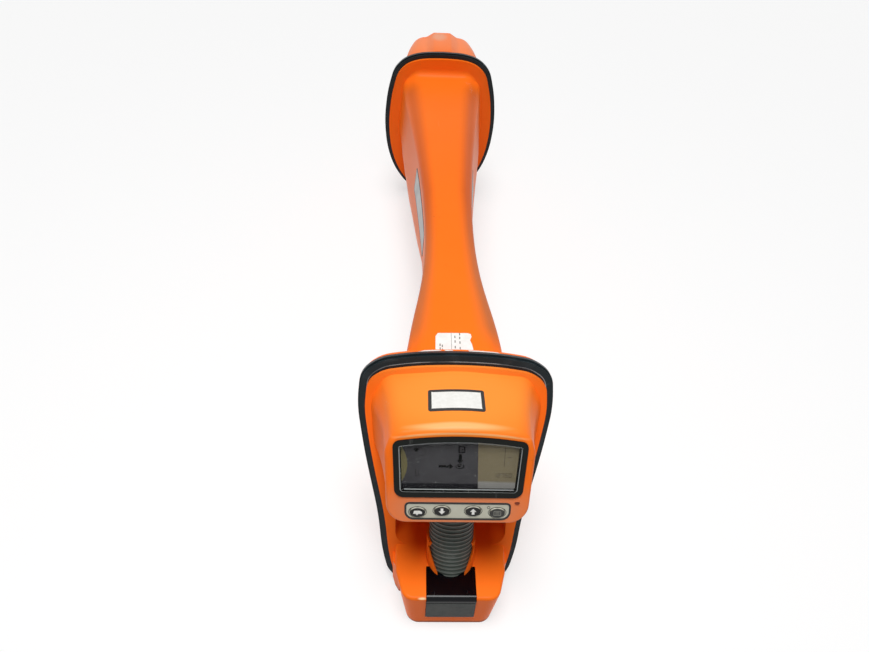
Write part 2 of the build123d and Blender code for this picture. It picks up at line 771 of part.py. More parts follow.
def make_trigger_switch():
    out, up = trigger_pivot
    body = plate(rear, Pos(0, up - 24) * Rectangle(8.0, 12.0), grip_out + 1.0, grip_out + 8.4)
    button = plate(rear, Pos(0, up - 22) * Rectangle(3.0, 3.0), grip_out - 0.6, grip_out + 1.0)
    return body + button


# Battery
def make_battery():
    case = block(-pack_half, pack_half, block_end_y + 6, pack_front_y, pack_floor, pack_top)
    case = fillet(case.edges().filter_by(Axis.Y), 3.0)
    room = block(
        -pack_half + case_wall, pack_half - case_wall, pack_front_y - 70, pack_front_y - case_wall,
        pack_floor + case_wall, pack_top - case_wall,
    )
    nose_front = block_end_y + nose_depth
    nose = block(-nose_half, nose_half, block_end_y - 0.6, nose_front, nose_floor, block_top + 0.6)
    nose = fillet(nose.edges().filter_by(Axis.X).sort_by(Axis.Y)[:2].sort_by(Axis.Z)[-1:], 4.0)
    case = case + nose - room
    cell_z = (pack_floor + pack_top) / 2
    cells = []
    tabs = []
    for side in (-1, 1):
        x = side * (cell_diameter / 2 + 0.2)
        back_y = pack_front_y - case_wall - 1 - cell_length
        cells.append(rod((x, back_y, cell_z), (x, back_y + cell_length, cell_z), cell_diameter))
        tab = block(x - 4, x + 4, pack_front_y, pack_front_y + 0.8, cell_z - 3, cell_z + 3)
        tail = block(x - 1.5, x + 1.5, back_y + cell_length, pack_front_y, cell_z - 1, cell_z + 1)
        tabs.append(tab + tail)
        case = case - block(
            x - 1.5 - seat_gap, x + 1.5 + seat_gap, pack_front_y - 5, pack_front_y + 1,
            cell_z - 1 - seat_gap, cell_z + 1 + seat_gap,
        )
    return {
        "battery_pack": case,
        "battery_cells": Compound(children=cells),
        "battery_contacts": Compound(children=tabs),
    }


def make_bay():
    gap = running_gap
    outer = block(
        -pack_half - gap - liner_wall, pack_half + gap + liner_wall,
        block_end_y + nose_depth + gap, pack_front_y + 7,
        pack_floor - gap - liner_wall, pack_top + gap + liner_wall,
    )
    inner = block(
        -pack_half - gap, pack_half + gap, block_end_y, pack_front_y + 7 - liner_wall,
        pack_floor - gap, pack_top + gap,
    )
    liner = outer - inner
    springs = []
    cell_z = (pack_floor + pack_top) / 2
    for side in (-1, 1):
        x = side * (cell_diameter / 2 + 0.2)
        back = pack_front_y + 7 - liner_wall
        wide = block(x - 3, x + 3, pack_front_y + 0.8 + gap, back, cell_z - 2.5, cell_z + 2.5)
        pin = block(x - 1, x + 1, back, pack_front_y + 12, cell_z - 1, cell_z + 1)
        springs.append(wide + pin)
        liner = liner - block(
            x - 1 - seat_gap, x + 1 + seat_gap, pack_front_y + 3, pack_front_y + 9,
            cell_z - 1 - seat_gap, cell_z + 1 + seat_gap,
        )
    return {"battery_bay": liner, "bay_contacts": Compound(children=springs)}


# Boards and antennas
def main_board_screw_places():
    x = main_board_size[0] / 2 - 3.2
    y = main_board_size[1] / 2 - 8
    return [(sx * x, main_board_y + sy * y) for sx in (-1, 1) for sy in (-1, 1)]


def make_main_board():
    width, length = main_board_size
    board = Pos(0, main_board_y, main_board_z + board_thickness / 2) * Box(width, length, board_thickness)
    top = main_board_z + board_thickness
    shield = Pos(0, main_board_y - 20, top + 2) * Box(20, 30, 4)
    chip = Pos(-3, main_board_y + 14, top + 0.8) * Box(14, 14, 1.6)
    plug = Pos(0, main_board_y - length / 2 + 3.5, top + 3) * Box(16, 7, 6)
    socket = Pos(-4, main_board_y + length / 2 - 3.5, top + 3) * Box(12, 7, 6)
    whole = board + [shield, chip, plug, socket]
    hole = Cylinder(small_screw / 2 + seat_gap, 8)
    return whole - [Pos(x, y, main_board_z) * hole for x, y in main_board_screw_places()]


def make_telemetry_antenna():
    """Stub aerial lying above the front end of the main board."""
    top = main_board_z + board_thickness
    y = main_board_y + main_board_size[1] / 2 - 20
    foot = block(7.5, 13.5, y - 3, y + 3, top, top + 9)
    return foot + rod((10.5, y - 3, top + 9), (10.5, y + 62, top + 9), 6.0)


def antenna_screw_places():
    reach = frame_half - 3.2
    return [(side * reach, height * reach) for side in (-1, 1) for height in (-1, 1)]


def make_antenna(name, seat_y, z, sign):
    """Three crossed ferrite rods in one moulded frame, which is screwed to a partition plate."""
    middle = Vector(0, seat_y + sign * frame_half, z)
    ways = (
        (Vector(1, 0, 0), Vector(0, 0, rod_offset)),
        (Vector(0, 1, 0), Vector(0, 0, -rod_offset)),
        (Vector(0, 0, 1), Vector(0, sign * (rod_offset + 2), 0)),
    )
    frame = Pos(*middle) * Box(2 * frame_half, 2 * frame_half, 2 * frame_half)
    frame = fillet(frame.edges().filter_by(Axis.Y), 2.5)
    rods = []
    coils = []
    bores = []
    for way, away in ways:
        centre = middle + away
        half = way * (rod_length / 2)
        rods.append(rod(centre - half, centre + half, rod_diameter))
        bore = rod(centre - half, centre + half, rod_diameter + 2 * seat_gap)
        bores.append(bore)
        for end in (-1, 1):
            start = centre + way * (end * frame_half)
            stop = centre + way * (end * (frame_half + winding_length))
            coils.append(rod(start, stop, winding_diameter) - bore)
    for x, up in antenna_screw_places():
        bores.append(rod((x, seat_y, z + up), (x, seat_y + sign * 7, z + up), small_screw + 2 * seat_gap))
    return {
        name + "_frame": frame - bores,
        name + "_rods": Compound(children=rods),
        name + "_windings": Compound(children=coils),
    }


def make_harness():
    """Leads from the display board and the battery bay to the main board, and on to the front antenna."""
    top = main_board_z + board_thickness + 3
    back_y = main_board_y - main_board_size[1] / 2
    front_y = main_board_y + main_board_size[1] / 2
    lead_y, lead_z = level(board_back() - 5 - seat_gap, 128)
    cell_z = (pack_floor + pack_top) / 2
    contact_x = cell_diameter / 2 + 0.2
    shelf_y = front_bulkhead_y + bulkhead_thickness
    gap = seat_gap
    drop = (0, shelf_y + 13, front_antenna_z + frame_half + gap)
    runs = [
        (harness_diameter, [
            (0, lead_y, lead_z), (0, lead_y + 40 * cos(lean), lead_z - 40 * sin(lean)), (0, -215, top + 3),
            (0, back_y - 25, top), (0, back_y - gap, top),
        ]),
        (harness_diameter, [
            (-4, front_y + gap, top), (-4, front_y + 30, top), (0, 120, lead_hole_z),
            (0, front_bulkhead_y - 30, lead_hole_z), (0, drop[1], lead_hole_z - 1), drop,
        ]),
    ]
    for side in (-1, 1):
        x = side * contact_x
        runs.append((lead_diameter, [
            (x, pack_front_y + 12 + gap, cell_z), (x, pack_front_y + 45, cell_z), (side * 7, -212, 80),
            (side * 7, -198, top - 25), (side * 5.5, back_y - 25, top), (side * 5.5, back_y - gap, top),
        ]))
    leads = []
    for diameter, spots in runs:
        path = FilletPolyline(*spots, radius=bend_radii(spots))
        start = Plane(origin=path @ 0, z_dir=path % 0)
        leads.append(sweep(start * Circle(diameter / 2), path=path))
    return Compound(children=leads)


def bend_radii(spots):
    """Largest bend at each corner that the two runs beside it leave room for."""
    radii = []
    for i in range(1, len(spots) - 1):
        before = Vector(*spots[i]) - Vector(*spots[i - 1])
        after = Vector(*spots[i + 1]) - Vector(*spots[i])
        turn = radians(before.get_angle(after))
        radii.append(0.45 * min(before.length, after.length) / tan(turn / 2))
    return radii


# Screws
def flange_screw(plane, x, up, seat, tip):
    """Socket head screw along the normal of a plane, from the seat of its head to its tip."""
    head = plate(plane, Pos(x, up) * Circle(screw_head / 2), seat, seat - 2.6)
    socket = plate(plane, Pos(x, up) * RegularPolygon(1.9, 6), seat - 1.0, seat - 2.7)
    return head - socket + plate(plane, Pos(x, up) * Circle(screw_diameter / 2), seat, tip)


def small_screw_along(start, way, length):
    """Pan head screw from the seat of its head."""
    start = Vector(*start)
    way = Vector(*way).normalized()
    return rod(start, start + way * length, small_screw) + rod(start - way * 1.6, start, small_head)


def make_screws():
    out = tuple(rear.z_dir)
    groups = {
        "rear_housing_screws": [],
        "front_cap_screws": [],
        "display_board_screws": [],
        "main_board_screws": [],
        "rear_antenna_screws": [],
        "front_antenna_screws": [],
    }
    for x, up in rear_screw_places():
        groups["rear_housing_screws"].append(flange_screw(rear, x, up, -rear_lip_out, 6.0))
    for x, up in front_screw_places():
        groups["front_cap_screws"].append(flange_screw(front, x, up, -lip_out + 2.6, 7.0))
    for x, up in board_screw_places():
        y, z = level(board_back(), up)
        groups["display_board_screws"].append(small_screw_along((x, y, z), out, 7.0))
    for x, y in main_board_screw_places():
        seat = (x, y, main_board_z + board_thickness)
        groups["main_board_screws"].append(small_screw_along(seat, (0, 0, -1), 5.5))
    for x, up in antenna_screw_places():
        seat = (x, rear_bulkhead_y + bulkhead_thickness, rear_antenna_z + up)
        groups["rear_antenna_screws"].append(small_screw_along(seat, (0, -1, 0), 9.0))
        seat = (x, front_bulkhead_y, front_antenna_z + up)
        groups["front_antenna_screws"].append(small_screw_along(seat, (0, 1, 0), 9.0))
    return {name: Compound(children=screws) for name, screws in groups.items()}


parts = {
    "main_body": make_main_body(),
    "rear_bumper": make_bumper(rear, rear_ring),
    "front_bumper": make_bumper(front, front_ring),
    "rear_housing": make_rear_housing(),
    "front_cap": make_front_cap(),
    **make_bulkheads(),
    **make_display(),
    **make_keys(),
    **make_grip(),
    "trigger": make_trigger(),
    "trigger_switch": make_trigger_switch(),
    **make_battery(),
    **make_bay(),
    "main_board": make_main_board(),
    "telemetry_antenna": make_telemetry_antenna(),
    **make_antenna("rear_antenna", rear_bulkhead_y, rear_antenna_z, -1),
    **make_antenna("front_antenna", front_bulkhead_y + bulkhead_thickness, front_antenna_z, 1),
    "wiring_harness": make_harness(),
    **make_screws(),
}

os.makedirs("parts", exist_ok=True)
for name, shape in parts.items():
    export_step(shape, f"parts/{name}.step")
    box = shape.bounding_box()
    print(name, len(shape.solids()), shape.is_valid, [round(v, 1) for v in (*box.min, *box.max)])
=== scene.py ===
# %% [markdown]
# # A walkover locator
# This lesson dresses the solid model of a hand-carried locator. The solids come in as a fixed frame: their shape
# and place stay as they are, and this file gives them finishes, prints, labels, light and a camera.

# %% Load the solids
import json
from math import cos, pi, radians, sin

import bmesh
import bpy
from mathutils import Matrix, Vector
from mathutils.bvhtree import BVHTree


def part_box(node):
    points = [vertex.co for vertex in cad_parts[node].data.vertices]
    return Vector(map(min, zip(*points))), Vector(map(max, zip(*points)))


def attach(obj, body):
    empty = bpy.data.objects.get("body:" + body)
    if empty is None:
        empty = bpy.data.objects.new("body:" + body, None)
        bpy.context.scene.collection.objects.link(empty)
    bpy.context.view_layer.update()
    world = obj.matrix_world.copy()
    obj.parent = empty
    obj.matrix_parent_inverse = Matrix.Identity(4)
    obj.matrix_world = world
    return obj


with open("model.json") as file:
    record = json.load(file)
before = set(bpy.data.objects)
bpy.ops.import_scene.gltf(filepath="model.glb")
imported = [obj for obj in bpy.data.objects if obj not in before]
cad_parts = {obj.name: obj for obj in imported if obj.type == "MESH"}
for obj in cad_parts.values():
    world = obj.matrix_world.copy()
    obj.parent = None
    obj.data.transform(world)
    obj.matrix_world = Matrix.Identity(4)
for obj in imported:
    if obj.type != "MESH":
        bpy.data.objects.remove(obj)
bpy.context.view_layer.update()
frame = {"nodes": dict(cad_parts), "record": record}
nodes = frame["nodes"]
mm = 0.001

# %% [markdown]
# ## Camera
# The photo was taken standing over the grip end, looking down along the body, with a short lens close by, so the
# far head looks small. The camera comes first, because every later step is judged through it. Its turn is built
# from three plain turns: a slight roll, the look down, and a slight turn to the right.

# %% Camera
def add_object(name, data):
    """A new object in the scene."""
    made = bpy.data.objects.new(name, data)
    bpy.context.scene.collection.objects.link(made)
    return made


roll, look_down, turn_right = radians(3.36), radians(46.25), radians(-3.14)
camera_data = bpy.data.cameras.new("camera")
camera_data.sensor_width = 36.0
camera_data.lens = 28.17
camera = add_object("camera", camera_data)
camera.location = (-0.0397, -0.6104, 0.5759)
look = Matrix.Rotation(turn_right, 3, "Z") @ Matrix.Rotation(look_down, 3, "X")
camera.rotation_euler = (look @ Matrix.Rotation(roll, 3, "Z")).to_euler()
bpy.context.scene.camera = camera

# %% [markdown]
# ## Writing shaders as sums
# A finish is a chain of small nodes. Wiring them by hand hides the idea, so one class wraps a socket and lets
# ordinary arithmetic add Math nodes: `1 - mask * 0.3` reads as what it does. Every other kind of node comes
# from one method that takes the node's type, its settings and its inputs.

# %% A socket that can be used in expressions
class Wire:
    """A node's socket. Sums and products of wires add Math nodes."""

    def __init__(self, socket):
        self.socket = socket
        self.tree = socket.id_data

    def node(self, kind, settings=None, inputs=None, output=0):
        made = self.tree.nodes.new(kind)
        for name, value in (settings or {}).items():
            setattr(made, name, value)
        for name, value in (inputs or {}).items():
            self.feed(made.inputs[name], value)
        return Wire(made.outputs[output])

    def feed(self, socket, value):
        if isinstance(value, Wire):
            self.tree.links.new(value.socket, socket)
        else:
            socket.default_value = value

    def maths(self, operation, first, second):
        return self.node("ShaderNodeMath", {"operation": operation}, {0: first, 1: second})

    def __add__(self, other):
        return self.maths("ADD", self, other)

    def __sub__(self, other):
        return self.maths("SUBTRACT", self, other)

    def __rsub__(self, other):
        return self.maths("SUBTRACT", other, self)

    def __mul__(self, other):
        return self.maths("MULTIPLY", self, other)

    def __truediv__(self, other):
        return self.maths("DIVIDE", self, other)

    def __rtruediv__(self, other):
        return self.maths("DIVIDE", other, self)

    def at_most(self, other):
        return self.maths("MINIMUM", self, other)

    def at_least(self, other):
        return self.maths("MAXIMUM", self, other)

    def size(self):
        return self.maths("ABSOLUTE", self, 0.0)

    def remainder(self):
        return self.maths("FRACT", self, 0.0)

    __radd__ = __add__
    __rmul__ = __mul__


# %% Places on a piece
def stretch(place, scale, turn=(0.0, 0.0, 0.0)):
    """The same place with each axis stretched, and turned first, for streaks and scratches."""
    return place.node("ShaderNodeMapping", None, {"Vector": place, "Rotation": turn, "Scale": scale})


def axes(place):
    """The three coordinates of a place, each on its own."""
    split = place.node("ShaderNodeSeparateXYZ", None, {0: place})
    return [Wire(out) for out in split.socket.node.outputs]


def leaning_axes(place, lean):
    """Coordinates across, up and out of a face that leans back by an angle."""
    return axes(stretch(place, (1.0, 1.0, 1.0), (-lean, 0.0, 0.0)))


# %% Patterns that most finishes share
def speckle(place, scale, detail=3.0, rough=0.55):
    """Cloudy noise between 0 and 1; scale counts the clouds per metre."""
    settings = {"Vector": place, "Scale": scale, "Detail": detail, "Roughness": rough}
    return place.node("ShaderNodeTexNoise", None, settings)


def step(value, low, high):
    """0 below low, 1 above high, smooth between."""
    limits = {"Value": value, "From Min": low, "From Max": high}
    return value.node("ShaderNodeMapRange", {"interpolation_type": "SMOOTHSTEP"}, limits)


def between(value, low, high, soft):
    """1 between two limits and 0 outside them, with soft edges."""
    return step(value, low - soft, low + soft) * (1 - step(value, high - soft, high + soft))


def spot(place, centre, radii):
    """1 at a centre given in millimetres, falling to 0 at the surface of an ellipsoid."""
    location, scale = [tuple(v * mm for v in values) for values in (centre, radii)]
    settings = {"Vector": place, "Location": location, "Scale": scale}
    local = place.node("ShaderNodeMapping", {"vector_type": "TEXTURE"}, settings)
    distance = local.node("ShaderNodeVectorMath", {"operation": "LENGTH"}, {0: local}, output=1)
    return 1 - step(distance, 0.35, 1.0)


# %% Colours, bump and a new finish
def rgb(red, green, blue):
    """Screen colour from 0 to 255 turned into the linear values that the shader works with."""
    def linear(value):
        share = value / 255
        return share / 12.92 if share <= 0.04045 else ((share + 0.055) / 1.055) ** 2.4
    return (linear(red), linear(green), linear(blue), 1.0)


def scaled(tone, *factors):
    """A colour with its red, green and blue each multiplied, and never above 1."""
    return tuple(min(1.0, c * factor) for c, factor in zip(tone, factors)) + (1.0,)


def blend_colour(amount, first, second):
    """The first colour where the amount is 0, and the second where it is 1."""
    return amount.node("ShaderNodeMix", {"data_type": "RGBA"}, {0: amount, 6: first, 7: second}, output=2)


def bumps(height, strength):
    """A normal tilted as by bumps 0.3 mm high."""
    inputs = {"Height": height, "Strength": strength, "Distance": 0.3 * mm}
    return height.node("ShaderNodeBump", None, inputs)


def new_finish(name, **constants):
    """A material, its shader's inputs and the place on the piece that the patterns read."""
    finish = bpy.data.materials.new(name)
    finish.use_nodes = True
    shader = finish.node_tree.nodes["Principled BSDF"]
    for socket, value in constants.items():
        shader.inputs[socket.replace("_", " ")].default_value = value
    place = Wire(finish.node_tree.nodes.new("ShaderNodeTexCoord").outputs["Object"])
    return finish, shader.inputs, place


print("shader tools ready")

# %% [markdown]
# ## Orange mouldings
# The body, the rear housing and the front cap are moulded in one orange plastic with a satin skin. On the real
# thing the colour isn't even: it fades a little in patches, is greyed by handling, and crossed by fine scratches.
# Light and shade are painted in as well: painted shade along the rounded shoulders of the neck and along the
# lowest edges, and on the housing a lighter hood top, painted highlights and painted shade. A painted map could
# hold all that, but each moulding would need its own. Layers need none: slow clouds for the fading, a band that
# follows the neck's width for the painted shade on its shoulders, stretched noise for scratches, a few scuffs and
# patches of painted light and shade in their own places, and a fine grain as bump.

# %% Scratches
def scratches(place, share):
    """Fine crossing lines that gather in patches."""
    lines = speckle(stretch(place, (260.0, 22.0, 60.0), (0.2, 0.1, 0.5)), 1.0, 2.0)
    more = speckle(stretch(place, (30.0, 300.0, 40.0), (0.4, 0.0, -0.3)), 1.0, 2.0)
    patch = step(speckle(place, 14.0, 2.0), 0.52, 0.66)
    both = (step(lines, 0.70, 0.735) + step(more, 0.71, 0.745)) * patch
    return both.at_most(1.0) * share


# %% Shoulders of the neck
narrowest, neck_half, near_growth = -50 * mm, 24 * mm, 0.61
far_half, far_growth = 22.9 * mm, 0.11
right_shift = 3 * mm
neck_start, neck_end, neck_fade = -212 * mm, 262 * mm, 18 * mm
flank_level, top_level = 167 * mm, 178 * mm
pale_shade_until, deep_from = -140 * mm, 20 * mm
# Painted shade for the neck's shoulders, paler behind and deeper in front.
pale_shoulder_shade, deep_shoulder_shade = (0.54, 0.15, 0.045, 1.0), (0.56, 0.095, 0.012, 1.0)


def neck_shoulders(place):
    """1 along the rounded shoulders of the neck, and how far forward that is, from 0 to 1."""
    across, along, up = axes(place)
    back = (along - narrowest).at_most(0.0)
    half = (neck_half + back * back * near_growth).at_least(far_half + along * far_growth)
    outward = (across + right_shift).at_least(across * -1.0)
    shoulder = step(outward / half, 0.45, 0.98) * step(up, flank_level, top_level)
    return shoulder * between(along, neck_start, neck_end, neck_fade), step(along, pale_shade_until, deep_from)


print("the neck is narrowest", round(narrowest / mm), "mm along")

# %% Orange plastic
# The second colour here is a painted highlight, for the hood's front ridge and the arch over the bezel.
scratched, painted_highlight = (0.95, 0.32, 0.12, 1.0), (1.0, 0.6, 0.26, 1.0)
# The first colour is specks of dirt; the second is painted shade along the lowest edges, where a moulding meets
# the table.
dark_speck, contact_shade = (0.16, 0.06, 0.03, 1.0), (0.2, 0.08, 0.04, 1.0)


def orange_plastic(name, tone, scratch_share, dirt_share, scuffs_and_painted_light=(), arch=None, neck=False):
    """Satin orange. Scuffs and patches of painted light and shade lie at centres in millimetres. An arch is a
    painted highlight over the bezel, given by the lean of the face, the line's radius and its top. A neck gets
    painted shade on its shoulders."""
    finish, sockets, place = new_finish(name, IOR=1.48, Specular_IOR_Level=0.05, Coat_Roughness=0.18)
    cloud = speckle(place, 9.0, 4.0)
    faded = tuple(min(1.0, c * 1.06 + 0.003) for c in tone[:3]) + (1.0,)
    colour = blend_colour(step(cloud, 0.35, 0.75), tone, faded)
    smear = step(speckle(place, 26.0, 5.0, 0.65), 0.6, 0.8) * dirt_share
    colour = blend_colour(smear, colour, scaled(tone, 0.75, 0.66, 0.8))
    scratch = scratches(place, scratch_share)
    colour = blend_colour(scratch, colour, scratched)
    specks = step(speckle(place, 420.0, 1.0), 0.77, 0.8) * dirt_share
    colour = blend_colour(specks, colour, dark_speck)
    # Each row paints a spot: scuffs, and on the housing also painted highlights and painted shade.
    for centre, radii, strength, bare_level, paint in scuffs_and_painted_light:
        patchy = step(speckle(place, 520.0, 3.0, 0.6), bare_level, bare_level + 0.1)
        colour = blend_colour(patchy * spot(place, centre, radii) * strength, colour, paint)
    # Painted contact shade: darker in the lowest 4 mm, where the moulding meets the table.
    contact_shade_mask = 1 - step(axes(place)[2], 0.5 * mm, 4 * mm)
    colour = blend_colour(contact_shade_mask * 0.75, colour, contact_shade)
    # A painted highlight in an arch just over the bezel.
    if arch:
        lean, radius, apex = arch
        across, up = leaning_axes(place, lean)[:2]
        rise = up + across * across * (0.5 / radius) - apex
        line = between(rise, 1.7 * mm, 3.0 * mm, 0.6 * mm) * (1 - step(across.size(), 34 * mm, 54 * mm))
        colour = blend_colour(line * 0.7, colour, painted_highlight)
    # Painted shade along the neck's shoulders.
    if neck:
        shoulder, ahead = neck_shoulders(place)
        shoulder_shade = blend_colour(ahead, pale_shoulder_shade, deep_shoulder_shade)
        colour = blend_colour(shoulder * (0.7 + 0.3 * cloud), colour, shoulder_shade)
    grain = speckle(place, 1500.0, 2.0)
    place.feed(sockets["Base Color"], colour)
    place.feed(sockets["Roughness"], 0.3 + 0.1 * cloud + 0.2 * scratch + 0.1 * smear)
    place.feed(sockets["Coat Weight"], 0.03 * (1 - smear))
    place.feed(sockets["Normal"], bumps(grain * 0.5 - scratch * 0.7 + cloud * 0.3, 0.12))
    return finish


# %% Scuffs, painted light and painted shade
# A row is a centre and radii in millimetres, a strength, the noise level that is still bare, and a colour. Most
# rows are scuffs; some rows on the housing are painted light and painted shade.
chalk = (0.9, 0.74, 0.64, 1.0)
pale = (0.95, 0.29, 0.12, 1.0)
# Painted light: a lighter orange for the top of the hood.
painted_hood_light = (1.0, 0.3, 0.045, 1.0)
glint = (1.0, 0.78, 0.45, 1.0)
# Painted shade with a grey sheen, for the display face.
painted_face_shade = (0.72, 0.25, 0.12, 1.0)
dust_pink = (0.78, 0.42, 0.28, 1.0)
# Painted shade for the end of the base.
painted_end_shade = (0.77, 0.133, 0.009, 1.0)
dark_mark = (0.45, 0.08, 0.012, 1.0)
body_scuffs = (
    ((34, 268, 184), (6, 3, 8), 0.8, 0.56, chalk),
    ((38, 256, 183), (2.5, 12, 8), 0.9, 0.54, chalk),
    ((42, 243, 180), (3, 9, 8), 0.9, 0.56, chalk),
    ((-11, -40, 181), (8, 3, 8), 0.6, 0.56, dark_mark),
)
housing_scuffs_and_painted_light = (
    # Painted light on the top of the hood.
    ((0, -278, 198), (108, 66, 38), 0.9, 0.0, painted_hood_light),
    # Painted highlight along the hood's front ridge.
    ((-3, -312, 192), (48, 4.5, 9), 0.6, 0.0, painted_highlight),
    # Painted shade with a grey sheen on the display face.
    ((0, -342, 132), (78, 27, 38), 0.85, 0.0, painted_face_shade),
    # Painted shade on the end of the base.
    ((0, -371, 20), (80, 6, 50), 0.85, 0.0, painted_end_shade),
    # Painted highlight: a glint on the front lip of the base.
    ((-23.5, -369.4, 42.4), (4.4, 1.6, 1.4), 0.85, 0.0, glint),
    ((-52, -283, 176), (5, 6, 8), 0.5, 0.56, chalk),
    ((41, -300, 180), (6, 4, 8), 0.4, 0.56, chalk),
)
cap_scuffs = (
    ((0, 336, 200), (90, 60, 26), 0.75, 0.1, pale),
    ((-4, 348, 213), (14, 20, 7), 0.6, 0.3, dust_pink),
    ((34, 318, 206), (6, 5, 8), 0.35, 0.56, chalk),
)
body_finish = orange_plastic(
    "body_orange", rgb(254, 115, 26), scratch_share=0.3, dirt_share=0.25, scuffs_and_painted_light=body_scuffs, neck=True)
cap_finish = orange_plastic(
    "cap_orange", rgb(250, 116, 38), scratch_share=0.5, dirt_share=0.25, scuffs_and_painted_light=cap_scuffs)
print("orange mouldings:", body_finish.name, cap_finish.name)

# %% [markdown]
# ## Rubber and black plastics
# The bumpers and the grip are rubber: dark, dull, and dusted grey where they rub; the grip's rib crests carry a
# painted highlight. The bezel and the battery nose are the same colour but polished, so what tells them apart is
# roughness, and a few hairline scratches.

# %% Rubber
# A painted highlight for the crests of the grip's ribs.
crest_highlight = rgb(158, 162, 158)


def dark_rubber(name, tone, dust, dust_share, grain_scale, base_roughness, ribs=None):
    """Dull dark rubber. Ribs, given as a lean, a start and a pitch, get a painted highlight along their crests."""
    finish, sockets, place = new_finish(name, IOR=1.45, Specular_IOR_Level=0.3)
    cloud = speckle(place, 60.0, 5.0, 0.65)
    dusted = step(cloud, 0.5, 0.74) * dust_share
    colour = blend_colour(dusted, tone, dust)
    streaks = speckle(stretch(place, (25.0, 240.0, 60.0), (0.3, 0.2, 0.1)), 1.0, 2.0)
    colour = blend_colour(step(streaks, 0.68, 0.74) * dust_share, colour, dust)
    if ribs:
        lean, start, pitch = ribs
        up = leaning_axes(place, lean)[1]
        share = ((up - start) / pitch).remainder()
        # Painted highlight along each rib's crest.
        crest = between(share, 0.52, 0.72, 0.1) * (0.3 + 0.7 * cloud)
        colour = blend_colour(crest * 0.7, colour, crest_highlight)
    place.feed(sockets["Base Color"], colour)
    place.feed(sockets["Roughness"], base_roughness + 0.2 * cloud + 0.15 * dusted)
    grain = speckle(place, grain_scale, 3.0)
    place.feed(sockets["Normal"], bumps(grain + cloud * 0.5, 0.25))
    return finish


bumper_finish = dark_rubber(
    "bumper_rubber", rgb(12, 23, 27), rgb(58, 68, 73), dust_share=0.3, grain_scale=1600.0, base_roughness=0.3)
print("rubber:", bumper_finish.name)

# %% Black plastic
hair_share = 0.3


def dark_plastic(name, tone, base_roughness):
    """Polished dark plastic with hairline scratches."""
    finish, sockets, place = new_finish(name, IOR=1.5, Specular_IOR_Level=0.12, Coat_Roughness=0.08)
    cloud = speckle(place, 45.0, 4.0)
    streaks = speckle(stretch(place, (320.0, 30.0, 30.0), (0.1, 0.5, 0.4)), 1.0, 2.0)
    hair = step(streaks, 0.68, 0.72) * hair_share
    colour = blend_colour(hair, tone, tuple(c + 0.08 for c in tone[:3]) + (1.0,))
    place.feed(sockets["Base Color"], colour)
    place.feed(sockets["Roughness"], base_roughness + 0.1 * cloud + 0.25 * hair)
    place.feed(sockets["Coat Weight"], 0.1 - 0.08 * hair)
    place.feed(sockets["Normal"], bumps(speckle(place, 2200.0, 1.0) * 0.5 - hair, 0.1))
    return finish


bezel_finish = dark_plastic("bezel_black", rgb(12, 15, 11), base_roughness=0.3)
key_finish = dark_plastic("key_black", rgb(26, 26, 27), base_roughness=0.42)
battery_finish = dark_plastic("battery_black", rgb(2, 3, 7), base_roughness=0.1)
print("black plastics:", bezel_finish.name, key_finish.name, battery_finish.name)

# %% [markdown]
# ## Small parts
# The keypad overlay is a pale grey printed film. The parts inside the casing are seen only where it is opened, so
# each gets one plain finish from the same function, with two tones and its own grain: solder mask, moulded grey,
# plated steel, ferrite, copper wire.

# %% Keypad film and inner finishes
def mottled(name, tone, other, scale, roughness, metal=0.0, shine=0.5):
    """A plain finish whose colour wanders between two tones."""
    finish, sockets, place = new_finish(name, IOR=1.48, Metallic=metal, Specular_IOR_Level=shine)
    cloud = speckle(place, scale, 4.0, 0.6)
    place.feed(sockets["Base Color"], blend_colour(step(cloud, 0.35, 0.68), tone, other))
    place.feed(sockets["Roughness"], roughness + 0.16 * cloud)
    place.feed(sockets["Normal"], bumps(speckle(place, scale * 9, 2.0), 0.15))
    return finish


keypad_finish = mottled("keypad_film", rgb(192, 191, 175), rgb(186, 184, 167), 90.0, 0.45)
inner_finish = mottled("inner_moulding", rgb(120, 122, 124), rgb(104, 106, 110), 80.0, 0.5)
board_finish = mottled("solder_mask", rgb(22, 92, 48), rgb(16, 74, 40), 160.0, 0.3)
component_finish = mottled("component_grey", rgb(52, 53, 56), rgb(38, 38, 41), 200.0, 0.45)
steel_finish = mottled("plated_steel", rgb(182, 182, 180), rgb(150, 150, 150), 260.0, 0.28, metal=1.0)
contact_finish = mottled("plated_contact", rgb(214, 182, 110), rgb(190, 156, 88), 260.0, 0.25, metal=1.0)
ferrite_finish = mottled("ground_ferrite", rgb(58, 58, 62), rgb(44, 44, 48), 300.0, 0.55)
copper_finish = mottled("enamelled_copper", rgb(176, 92, 46), rgb(140, 66, 32), 700.0, 0.3, metal=0.7)
cell_finish = mottled("cell_wrap", rgb(44, 84, 150), rgb(36, 72, 134), 60.0, 0.35)
cable_finish = mottled("cable_jacket", rgb(34, 34, 36), rgb(26, 26, 28), 300.0, 0.5)
foam_finish = mottled("foam_strip", rgb(46, 46, 46), rgb(36, 36, 36), 500.0, 0.8)
guide_finish = mottled("light_guide", rgb(222, 224, 216), rgb(208, 210, 202), 60.0, 0.4)
print("finishes so far:", len(bpy.data.materials))

